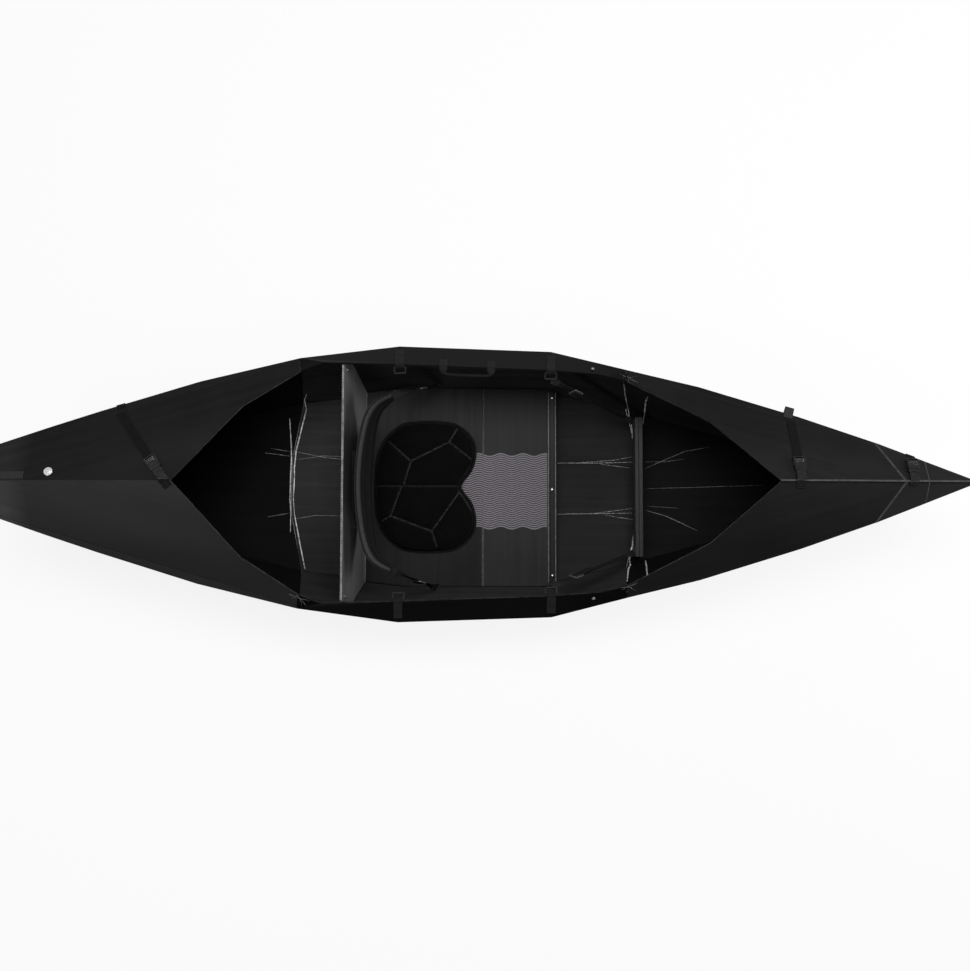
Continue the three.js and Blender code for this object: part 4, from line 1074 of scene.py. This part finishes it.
def gap_to(lines, place):
    """The distance seen from above from a place to the nearest of some lines."""
    best = 1.0
    flat = Vector((place.x, place.y, 0))
    for start, end in lines:
        span = end - start
        share = min(1.0, max(0.0, (flat - start).dot(span) / span.length_squared))
        best = min(best, (flat - start - span * share).length)
    return best


# How far the cloth may swell, and the depth and half width of the two grooves along each sewn line
SEAT_SWELL = 0.009
WIDE_GROOVE, FINE_GROOVE = (0.0045, 0.0075), (0.0022, 0.003)


def seat_held(place):
    if place.z < SEAT_FOOT + 0.006:
        return 1.0
    return max(0.0, 1.0 - gap_to(seams, place) / SEAT_SWELL)


def sunk(gap, depth, half):
    """How deep a sewn groove is at a distance from its middle."""
    return depth * math.exp(-((gap / half) ** 2))


puffed(seat, seat_held, SEAT_SWELL)
seams_and_painted_highlight = seat.data.attributes.new("seams_and_painted_highlight", "FLOAT", "POINT")
for k, corner in enumerate(seat.data.vertices):
    top = smooth_step((corner.co.z - SEAT_FOOT - 0.014) / 0.01)
    gap = gap_to(seams, corner.co)
    corner.co.z -= top * (sunk(gap, *WIDE_GROOVE) + sunk(gap, *FINE_GROOVE))
    corner.co.z = max(SEAT_FOOT, corner.co.z)
    faint = 0.45 if abs(corner.co.y) < 0.0045 else 1.0
    seams_and_painted_highlight.data[k].value = faint * top * max(0.0, 1.0 - gap / 0.0036)
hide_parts("seat_pad")


def build_stitches():
    """Short round stitches laid end to end along every line of a mesh."""
    tree, given = repeating_tree("thread_stitches", ("Pitch", "Length", "Thickness"), "Thread")
    lines = node_in(tree, "GeometryNodeMeshToCurve", {0: given["Geometry"]}).outputs[0]
    spaced = {"Curve": lines, "Length": given["Pitch"]}
    spaced = node_in(tree, "GeometryNodeResampleCurve", spaced, mode="LENGTH").outputs[0]
    stitch = node_in(tree, "GeometryNodeMeshUVSphere", {"Segments": 6, "Rings": 4, "Radius": 0.5})
    way = tree.nodes.new("GeometryNodeInputTangent").outputs[0]
    scale = (given["Thickness"], given["Thickness"], given["Length"])
    set_out(tree, spaced, stitch.outputs["Mesh"], way, scale, given["Thread"])
    return tree


thread_stitches = build_stitches()
thread, tree = material_with("bonded_thread", 0.6, Specular_IOR_Level=0.04)
strands = noise(place_on(tree), 1800.0, 2.0, 0.6)
thread_colour = blended(strands, (0.012, 0.012, 0.0125), (0.05, 0.05, 0.052))
dressed(thread_colour, ramped(strands, 0.3, 0.7, 0.5, 0.7), strands, 0.4, 0.0002)


def stitched(name, rows, body, pitch=0.003):
    """Stitches along rows of points that already lie on their cloth."""
    corners, edges = [], []
    for row in rows:
        start = len(corners)
        corners += [tuple(point) for point in row]
        edges += [(start + k, start + k + 1) for k in range(len(row) - 1)]
    mesh = bpy.data.meshes.new(name)
    mesh.from_pydata(corners, edges, [])
    values = {"Pitch": pitch, "Length": pitch * 0.78, "Thickness": 0.0011, "Thread": thread}
    grown(name, mesh, thread_stitches, values, body)


HEM_WIDE, HEM_PROUD, HEM_THICK = 0.013, 0.0075, 0.0034
low, high = Vector((0, 0, SEAT_FOOT)), Vector((0, 0, SEAT_FOOT + HEM_THICK))
hem_rings = []
for k, point in enumerate(seat_line):
    way = (seat_line[(k + 1) % len(seat_line)] - seat_line[k - 1]).normalized()
    outward = way.cross(Vector((0, 0, 1)))
    if outward.dot(point - SEAT_MIDDLE) < 0:
        outward = -outward
    out = point + outward * HEM_PROUD
    inner = out - outward * HEM_WIDE
    rim = out + (low + high) / 2 + outward * 0.0007
    hem_rings.append([out + low, rim, out + high - outward * 0.0009, inner + high, inner + low])
shape = bmesh.new()
rows = [[shape.verts.new(point) for point in ring] for ring in hem_rings]
bridged(shape, rows + rows[:1])
bmesh.ops.recalc_face_normals(shape, faces=shape.faces)
HEM_COLOURS = ((0.0035, 0.0035, 0.0037), (0.009, 0.009, 0.0093), (0.055, 0.055, 0.056))
hem_cloth = cushion_material("hem_tape", *HEM_COLOURS)
hem = new_piece("seat_hem", shape, hem_cloth, "hull")
smoothed(hem)
# The hem's outer rim is drawn in the paler seam colour.
paler_rim = hem.data.attributes.new("seams_and_painted_highlight", "FLOAT", "POINT")
for k in range(1, len(hem.data.vertices), len(hem_rings[0])):
    paler_rim.data[k].value = 1.0
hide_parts("seat_pad")
hem_row = [ring[2].lerp(ring[3], 0.22) + Vector((0, 0, 0.0001)) for ring in hem_rings]
stitched("seat_hem_stitches", [hem_row + hem_row[:1]], "hull", 0.0036)


# Backrest: a curved band of foam in the same cloth, sewn along its length and piped round its edge.
# It leans aft and hangs between the hull's sides on two webbing straps with ladder locks.
BACK_PATH = [(-262, 246, 262), (-311, 211, 243), (-335, 140, 224), (-346, 0, 214)]
BACK_PATH += [(x, -y, z) for x, y, z in BACK_PATH[-2::-1]]
BACK_RINGS, BACK_SIDES = 72, 32
BACK_SEAMS, BACK_SWELL, BACK_GROOVE = (-0.42, 0.42), 0.006, (0.0028, 0.005)


def squared(angle, across, along, side, top):
    """A point of a rounded box section, from its half sizes and how square its sides and top are."""
    u = math.copysign(abs(math.cos(angle)) ** side, math.cos(angle)) * across
    return u, math.copysign(abs(math.sin(angle)) ** top, math.sin(angle)) * along


back_points = curve_through([Vector(point) / 1000 for point in BACK_PATH], BACK_RINGS + 1)
stations, rings = [], []
for k, middle in enumerate(back_points):
    t = k / BACK_RINGS
    way = way_at(back_points, k)
    aft = Vector((way.y, -way.x, 0)).normalized()
    if aft.x > 0:
        aft = -aft
    up = (Vector((0, 0, 1)) + 0.21 * aft).normalized()
    high = 0.024 + 0.0505 * max(0.0, math.sin(math.pi * t)) ** 0.7
    thick = 0.0108 * (0.55 + 0.45 * min(1.0, 8 * min(t, 1 - t)))
    stations.append((middle, aft, up, high, thick))
    section = [squared(2 * math.pi * j / BACK_SIDES, thick, high, 0.75, 0.6) for j in range(BACK_SIDES)]
    rings.append([middle + aft * u + up * v for u, v in section])
back_cloth = cushion_material("backrest_knit", grey(0.0035), grey(0.0075), grey(0.045), 0.7)
back = new_piece("backrest_cushion", skinned(rings), back_cloth, "backrest")


def on_back(place):
    """How far aft and up a point of the backrest lies, as shares, its half height and the way aft."""
    middle, aft, up, high, thick = min(stations, key=lambda one: (one[0].xy - place.xy).length_squared)
    offset = place - middle
    return offset.dot(aft) / thick, offset.dot(up) / high, high, aft


def back_held(place):
    _, rise, high, _ = on_back(place)
    near_seam = min(abs(rise - seam) for seam in BACK_SEAMS) * high
    near_edge = (1.0 - min(1.0, abs(rise))) * high
    return max(0.0, 1.0 - min(near_seam, near_edge) / BACK_SWELL)


puffed(back, back_held, BACK_SWELL)
seams_and_painted_highlight = back.data.attributes.new("seams_and_painted_highlight", "FLOAT", "POINT")
for k, corner in enumerate(back.data.vertices):
    out, rise, high, aft = on_back(corner.co)
    gap = min(abs(rise - seam) for seam in BACK_SEAMS) * high
    inwards = -aft if out > 0 else aft
    corner.co += inwards * sunk(gap, *BACK_GROOVE) * min(1.0, abs(out))
    # The band along the backrest's top is drawn paler: a painted highlight.
    seams_and_painted_highlight.data[k].value = smooth_step((rise * high - high + 0.021) / 0.012)
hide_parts("backrest_pad")


def tube(points, radius, sides=8):
    """A round cord through some points, closed at both ends."""
    rings = []
    over = Vector((0, 0, 1))
    turns = [2 * math.pi * j / sides for j in range(sides)]
    circle = [(radius * math.cos(turn), radius * math.sin(turn)) for turn in turns]
    for k, point in enumerate(points):
        way = way_at(points, k)
        side = way.cross(over)
        side = side.normalized() if side.length > 0.05 else way.cross(Vector((1, 0, 0))).normalized()
        over = side.cross(way).normalized()
        rings.append([point + side * u + over * v for u, v in circle])
    return skinned(rings)


def ribbon(points, across, wide, thick):
    """A flat strip with rounded edges along some points, its width along one direction."""
    across = Vector(across).normalized()
    half, t = wide / 2, thick / 2
    edge = half - 0.8 * t
    section = ((-half, -0.4 * t), (-edge, -t), (edge, -t), (half, -0.4 * t))
    section += tuple((-u, -v) for u, v in section)
    rings = []
    for k, point in enumerate(points):
        facing = way_at(points, k).cross(across).normalized()
        rings.append([point + across * u + facing * v for u, v in section])
    return skinned(rings)


def build_weave():
    """Ribbed twill of woven webbing, mapped in metres along and across the strap."""
    tree, given = group_with("webbing_weave", {"Pitch": 0.0017}, ("Height", "Shade"))
    parts = map_of(tree, "strip")
    along, across = (maths("DIVIDE", parts[way], given["Pitch"]) for way in "XY")

    def ridges(turns, height):
        wave = maths("SINE", times(turns, math.pi))
        return times(maths("ABSOLUTE", wave), height)

    shifted = maths("ADD", along, times(maths("FLOOR", across), 0.5))
    height = maths("ADD", ridges(across, 0.55), ridges(shifted, 0.45))
    fuzz = times(noise(place_on(tree), 260.0, 4.0, 0.7), 0.55)
    shade = maths("ADD", times(height, 0.45), fuzz)
    node_in(tree, "NodeGroupOutput", {"Height": height, "Shade": shade})
    return tree


webbing_weave = build_weave()


def webbing_material(name, dark, light):
    material, tree = material_with(name, 0.7, Specular_IOR_Level=0.04)
    weave = placed(tree, webbing_weave, Pitch=0.0017)
    wear = placed(tree, edge_wear, Radius=0.0005)
    rubbed = tuple(2.0 * value + 0.01 for value in grey(light))
    colour = blended(ramped(weave["Shade"], 0.3, 0.75), grey(dark), grey(light))
    colour = blended(times(wear["Mask"], 0.5), colour, rubbed)
    rough = ramped(weave["Shade"], 0.3, 0.75, 0.8, 0.6)
    dressed(colour, rough, weave["Height"], 0.6, 0.0004)
    return material


black_webbing = webbing_material("black_webbing", 0.005, 0.015)


def lay_weave(item, path, across=None, facing=None):
    """Maps a strap's faces in metres along its path and across it."""
    starts = [0.0]
    for first, second in zip(path, path[1:]):
        starts.append(starts[-1] + (second - first).length)
    strip = item.data.uv_layers.new(name="strip")
    found = []
    for corner in item.data.vertices:
        best = None
        for k, (first, second) in enumerate(zip(path, path[1:])):
            span = second - first
            share = min(1.0, max(0.0, (corner.co - first).dot(span) / span.length_squared))
            gap = corner.co - first - span * share
            if best is None or gap.length < best[0]:
                side = Vector(across) if across else span.cross(Vector(facing))
                best = (gap.length, starts[k] + share * span.length, gap.dot(side.normalized()))
        found.append(best[1:])
    for loop in item.data.loops:
        strip.data[loop.index].uv = found[loop.vertex_index]


STRAP_ROUND, TAIL_THICK = 0.0005, 0.0015


def strap_piece(node, path, across, step=0.0, bowed=False, cloth=black_webbing):
    """A strap made from its CAD node with rounded edges, laid on the bowed deck that it crosses."""
    shape = merged_copy(node)
    path = [Vector(point) for point in path]
    if step:
        run = path[-1] - path[0]
        sliced(shape, path[0], run.normalized(), step, int(run.length / step))
    if bowed:
        bowed_up(shape)
    strap = new_piece(node + "_webbing", shape, cloth, body_of(node))
    rounded(strap, STRAP_ROUND)
    lay_weave(strap, path, across)
    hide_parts(node)
    return strap


SEWN_SEARCH, SEWN_GAP = 0.02, 0.0001


def box_stitch(surface, middle, along, across, long, wide, facing):
    """The lines of a sewn box with its two diagonals, laid on a strap's surface."""
    middle, facing = Vector(middle), Vector(facing).normalized()
    along, across = Vector(along).normalized() * (long / 2), Vector(across).normalized() * (wide / 2)
    corners = [middle + along * u + across * v for u, v in SQUARE]
    rows = []
    for a, b in ((0, 1), (1, 2), (2, 3), (3, 0), (0, 2), (1, 3)):
        starts = [corners[a].lerp(corners[b], k / 8) + facing * SEWN_SEARCH for k in range(9)]
        places = [surface.ray_cast(start, -facing, 2 * SEWN_SEARCH)[0] for start in starts]
        row = [place + facing * SEWN_GAP for place in places if place is not None]
        if len(row) > 2:
            rows.append(row)
    return rows


TWIST_EASE = 0.05


def twisted(points, start, end, tilt):
    """Points of a strap turned about its middle line, easing in and out at its two ends."""
    length, way = (end - start).length, (end - start).normalized()
    turned = []
    for point in points:
        reach = (point - start).dot(way)
        share = smooth_step(reach / TWIST_EASE) * smooth_step((length - reach) / TWIST_EASE)
        turned.append(start + Matrix.Rotation(tilt * share, 3, way) @ (point - start))
    return turned


PIPING, PIPING_GAP = 0.0023, 0.0002
piping_points = [middle + up * (high + PIPING_GAP) for middle, _, up, high, _ in stations]
piping_points += [middle - up * (high + PIPING_GAP) for middle, _, up, high, _ in reversed(stations)]
piping_points.append(piping_points[0])
piping = new_piece("backrest_piping", tube(piping_points, PIPING), black_webbing, "backrest")
smoothed(piping)
lay_weave(piping, piping_points[::6] + piping_points[-1:], facing=(1, 0, 0))
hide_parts("backrest_pad")


def at_side(side, x, y, z):
    return Vector((x, side * y, z)) / 1000


# The ladder locks are drawn paler, with pale edges: painted highlights.
lock_plastic = plastic_material("glint_painted_acetal", 0.02, 0.11, 0.22, 0.3, 0.55)


def hung_strap(body, side_name, path, over, tilt, lock_share, tail_line, tail_wide, boxes, box_wide):
    """One strap of a pair: webbing, ladder lock, loose tail and sewn boxes, turned about its run."""
    tilt = math.radians(tilt)
    start, end = path[-2:]
    way = (end - start).normalized()
    facing = upward(way.cross(over).normalized())
    strap = strap_piece(f"{body}_strap_{side_name}", path, over, step=0.008)
    lock = moulded_piece(f"{body}_adjuster_{side_name}", lock_plastic, 0.0007)
    middle = start.lerp(end, lock_share)
    line = curve_through([middle + way * u + facing * v for u, v in tail_line], 12)
    tail = ribbon(line, over, tail_wide, TAIL_THICK)
    tail = new_piece(f"{body}_tail_{side_name}", tail, black_webbing, body)
    lay_weave(tail, line, over)
    surface = surfaces_of([strap])
    rows = []
    for share, long in boxes:
        rows += box_stitch(surface, start.lerp(end, share), way, over, long, box_wide, facing)
    rows = [twisted(row, start, end, tilt) for row in rows]
    for part in (strap, lock, tail):
        corners = part.data.vertices
        turned = twisted([corner.co.copy() for corner in corners], start, end, tilt)
        for corner, place in zip(corners, turned):
            corner.co = place
    stitched(f"{body}_stitches_{side_name}", rows, body)


# Where a strap's lock lies as a share of its run, the line and width of its tail, the places and
# lengths of its sewn boxes, and their width. Then the turn of the port strap in degrees.
BACK_TAIL = ((0.012, 0.0062), (-0.006, 0.0066), (-0.024, 0.0058), (-0.046, 0.0092))
BACK_HANG = (0.55, BACK_TAIL, 0.0245, ((0.88, 0.018), (0.12, 0.016)), 0.018)
BACK_TILT = -58
for side_name, side in SIDES:
    leaves = at_side(side, 0.81, 0.58, 0.03).normalized()
    pad_end, anchor = at_side(side, -262, 246, 262), at_side(side, -140, 305, 75)
    bend = pad_end + leaves * 0.016
    over = leaves.cross(anchor - bend).normalized()
    hung_strap("backrest", side_name, [pad_end, bend, anchor], over, side * BACK_TILT, *BACK_HANG)


# Footrest: a moulded channel bar across the boat, hung in front by two narrow straps from the forward
# rings, each with a ladder lock and a loose tail.
moulded_piece("footrest_bar", plastic_material("footrest_grey_black", 0.02, 0.036, 0.36), 0.0012)
FOOT_TAIL = ((-0.012, 0.006), (0.008, 0.0066), (0.03, 0.005), (0.056, 0.009))
FOOT_HANG = (0.29, FOOT_TAIL, 0.0195, ((0.1, 0.02), (0.93, 0.016)), 0.013)
FOOT_TILT = 66
for side_name, side in SIDES:
    ring_end, bar_end = at_side(side, 191, 293, 270), at_side(side, 455.2, 199, 66)
    over = (bar_end - ring_end).cross(Vector((0, 0, 1))).normalized()
    hung_strap("footrest", side_name, [ring_end, bar_end], over, side * FOOT_TILT, *FOOT_HANG)


# Hull loops: webbing sewn over the gunwale folds, each holding a moulded ring under the rim. The
# webbing runs up the fold, over the rim and once round the ring.
# The rings' pale edges are partly wear and partly painted highlights.
ring_plastic = plastic_material("worn_glint_painted_acetal", 0.008, 0.03, 0.26, 0.15, 0.14)
LOOP_PATH = ((-74, 1.1), (0.5, 1.1), (3, 0), (4.2, -3), (4.2, -10), (0, -14.2), (-4.2, -10))
LOOPS = {"aft": ((-245, 398, 225), (-239, 334, 295)), "fore": ((193, 383, 225), (189, 318, 295))}
hull_rows = []
for place_name, (gunwale, rim) in LOOPS.items():
    for side_name, side in SIDES:
        low, high = at_side(side, *gunwale), at_side(side, *rim)
        up = (high - low).normalized()
        out = upward(up.cross(Vector((1, 0, 0))).normalized())
        path = [high + (up * u + out * w) / 1000 for u, w in LOOP_PATH]
        loop = strap_piece(f"hull_loop_{place_name}_{side_name}", path, (1, 0, 0))
        moulded_piece(f"hull_ring_{place_name}_{side_name}", ring_plastic, 0.0011)
        surface = surfaces_of([loop])
        for down, long in ((0.062, 0.016), (0.02, 0.022)):
            hull_rows += box_stitch(surface, high - up * down, up, (1, 0, 0), long, 0.019, out)


# Carry handle: a doubled webbing grip on the port rim, sewn to two short anchors on the gunwale fold.
# The grip is rolled round in its middle and lies flat at its ends.
rim_aft, rim_fore = at_side(1, -239, 334, 295), at_side(1, 189, 318, 295)
rim_way = (rim_fore - rim_aft).normalized()
rim_middle = rim_aft.lerp(rim_fore, (-0.048 - rim_aft.x) / (rim_fore.x - rim_aft.x))
inboard = Vector((0, -1, -0.17)).normalized()
handle_up = upward(rim_way.cross(inboard))
GRIP, GRIP_POINTS = 0.0675, 72
GRIP_END = ((-GRIP, 0.0014), (-GRIP, 0.006), (-GRIP, 0.0115))
GRIP_END += ((-0.0655, 0.0185), (-0.058, 0.0236), (-0.046, 0.0248))
grip_line = GRIP_END + ((0.0, 0.0252),) + tuple((-u, v) for u, v in GRIP_END[::-1])
grip_path = curve_through([rim_middle + rim_way * u + inboard * v for u, v in grip_line], GRIP_POINTS)
rings = []
for k, point in enumerate(grip_path):
    over = way_at(grip_path, k).cross(handle_up).normalized()
    flat = 1.0 - smooth_step((min(k, GRIP_POINTS - 1 - k) - 3) / 7)
    half_wide, half_thick, square = 0.0043 + 0.0072 * flat, 0.0036 - 0.0021 * flat, 1.0 - 0.45 * flat
    section = [squared(2 * math.pi * j / 16, half_wide, half_thick, square, square) for j in range(16)]
    rings.append([point + over * u + handle_up * v for u, v in section])
grip_webbing = webbing_material("grip_webbing", 0.004, 0.013)
handle = new_piece("carry_grip", skinned(rings), grip_webbing, "handle")
smoothed(handle)
lay_weave(handle, grip_path[::6] + grip_path[-1:], facing=handle_up)
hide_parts("carry_handle")
surface = surfaces_of([handle])
handle_rows = []
for share in (-GRIP, GRIP):
    middle = rim_middle + rim_way * share + inboard * 0.0065
    handle_rows += box_stitch(surface, middle, rim_way, inboard, 0.017, 0.008, handle_up)
stitched("handle_stitches", handle_rows, "handle")
fold_out = upward((rim_aft - at_side(1, -245, 398, 225)).cross(rim_way).normalized())
fold_up = upward(rim_way.cross(fold_out).normalized())
for place_name, share in (("aft", -GRIP), ("fore", GRIP)):
    head = rim_middle + rim_way * share
    anchor = strap_piece("handle_anchor_" + place_name, [head - fold_up * 0.03, head], rim_way)
    surface = surfaces_of([anchor])
    hull_rows += box_stitch(surface, head - fold_up * 0.016, fold_up, rim_way, 0.02, 0.017, fold_out)


# Bow straps: two webbing straps that close the bow deck. Each starts at an anchor over the port
# gunwale and meets a side-release buckle, whose plug is held by a short tab to starboard of the seam.
# Deck webbing is drawn darker: partly its own black, partly painted shade for a taut strap's shadow.
deck_webbing = webbing_material("deck_webbing", 0.002, 0.0068)
dusty_webbing = webbing_material("dusty_webbing", 0.013, 0.038)
RIB_PLACES, RIB_HALF = (0.0085, 0.0125, 0.0165), 0.0105
UP = (0, 0, 1)


def buckle(name, heading, lift=None):
    """A buckle's socket with moulded ribs across its strap end, where the thumb pulls, and its plug."""
    node = name + "_buckle_socket"
    socket = moulded_piece(node, black_plastic, 0.0009, lift=lift)
    heading = Vector(heading).normalized()
    across = Vector((-heading.y, heading.x, 0))
    corners = [corner.co for corner in socket.data.vertices]
    start = min(heading.dot(corner) for corner in corners)
    sides = [across.dot(corner) for corner in corners]
    middle = across * ((min(sides) + max(sides)) / 2) + heading * start
    surface = surfaces_of([socket])
    shape = bmesh.new()
    for reach in RIB_PLACES:
        places = [middle + heading * reach + across * (RIB_HALF * (k / 4 - 1)) for k in range(9)]
        path = [dropped(surface, place, 0.0002)[0] for place in places]
        rib = tube([point for point in path if point is not None], 0.0009, 6)
        made = bpy.data.meshes.new("rib")
        rib.to_mesh(made)
        rib.free()
        shape.from_mesh(made)
        bpy.data.meshes.remove(made)
    smoothed(new_piece(name + "_socket_ribs", shape, black_plastic, body_of(node)))
    moulded_piece(name + "_buckle_plug", black_plastic, 0.0006, lift=lift)


def sewn_tab(name, pieces, along, across):
    """The sewn box that closes a strap's end tab."""
    low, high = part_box(name + "_strap_tab")
    middle = ((low.x + high.x) / 2, (low.y + high.y) / 2, high.z)
    rows = box_stitch(surfaces_of(pieces), middle, along, across, 0.012, 0.018, UP)
    stitched(name + "_tab_stitches", rows, body_of(name + "_strap_tab"))


for name, x, on_flap in (("bow_aft", 0.864, True), ("bow_front", 1.184, False)):
    low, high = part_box(name + "_strap_anchor")
    path = [(x, low.y, 0.3), (x, high.y, 0.26)]
    cloth = dusty_webbing if on_flap else deck_webbing
    anchor = strap_piece(name + "_strap_anchor", path, (0.95, -0.29, 0.07), cloth=cloth)
    buckle(name, (0 if on_flap else -0.04, -1, 0), (x, 0.054) if on_flap else None)
    path = [(x, 0, 0.37), (x, -0.03, 0.36)]
    step = 0.006 if on_flap else 0.0
    tab = strap_piece(name + "_strap_tab", path, (1, 0, 0), step, on_flap, deck_webbing)
    sewn_tab(name, [tab, anchor], (0, 1, 0), (1, 0, 0))
    middle = ((low.x + high.x) / 2, low.y + 0.008, high.z)
    surface = surfaces_of([tab, anchor])
    hull_rows += box_stitch(surface, middle, (0.1, 1, 0), (1, -0.1, 0), 0.01, 0.018, UP)
path = [(0.864, 0.067, 0.348), (0.864, 0.178, 0.301)]
strap_piece("bow_aft_strap", path, (1, 0, 0), 0.01, True, deck_webbing)


# Stern strap: the same kind of strap and buckle, set askew across the stern deck. Its socket rides
# on the port flap and its tab on the starboard one.
stern_way, stern_across = Vector((0.578, -0.816, 0)).normalized(), Vector((0.816, 0.578, 0))
path = [(-1.027, 0.205, 0.29), (-0.927, 0.064, 0.335)]
strap_piece("stern_strap", path, stern_across, 0.01, True, deck_webbing)
path = [(-1.028, 0.2, 0.285), (-1.028, 0.226, 0.25)]
strap_piece("stern_strap_anchor", path, (0.95, 0.29, -0.05), cloth=deck_webbing)
buckle("stern", stern_way, (-0.918, 0.052))
path = [(-0.886, 0, 0.353), (-0.867, -0.026, 0.345)]
tab = strap_piece("stern_strap_tab", path, stern_across, 0.006, True, deck_webbing)
sewn_tab("stern", [tab], stern_way, stern_across)


# Stern snap and tab: a pressed metal snap on the port stern deck, and a sewn webbing tab near its
# tip, doubled over and sewn in two boxes.
snap_metal = brushed_metal("nickel_snap", (0.3, 0.3, 0.31), (0.6, 0.6, 0.61))
moulded_piece("stern_snap", snap_metal, 0.0005, lift=(-1.204, 0.024))
path = [(-1.34, 0.014, 0.33), (-1.274, 0.014, 0.33)]
surface = surfaces_of([strap_piece("stern_tab", path, (0, 1, 0), 0.008, True, dusty_webbing)])
rows = []
for x in (-1.322, -1.29):
    rows += box_stitch(surface, (x, 0.014, 0.34), (1, 0, 0), (0, 1, 0), 0.02, 0.015, UP)
stitched("stern_tab_end_stitches", rows, body_of("stern_tab"))
stitched("hull_stitches", hull_rows, "hull")
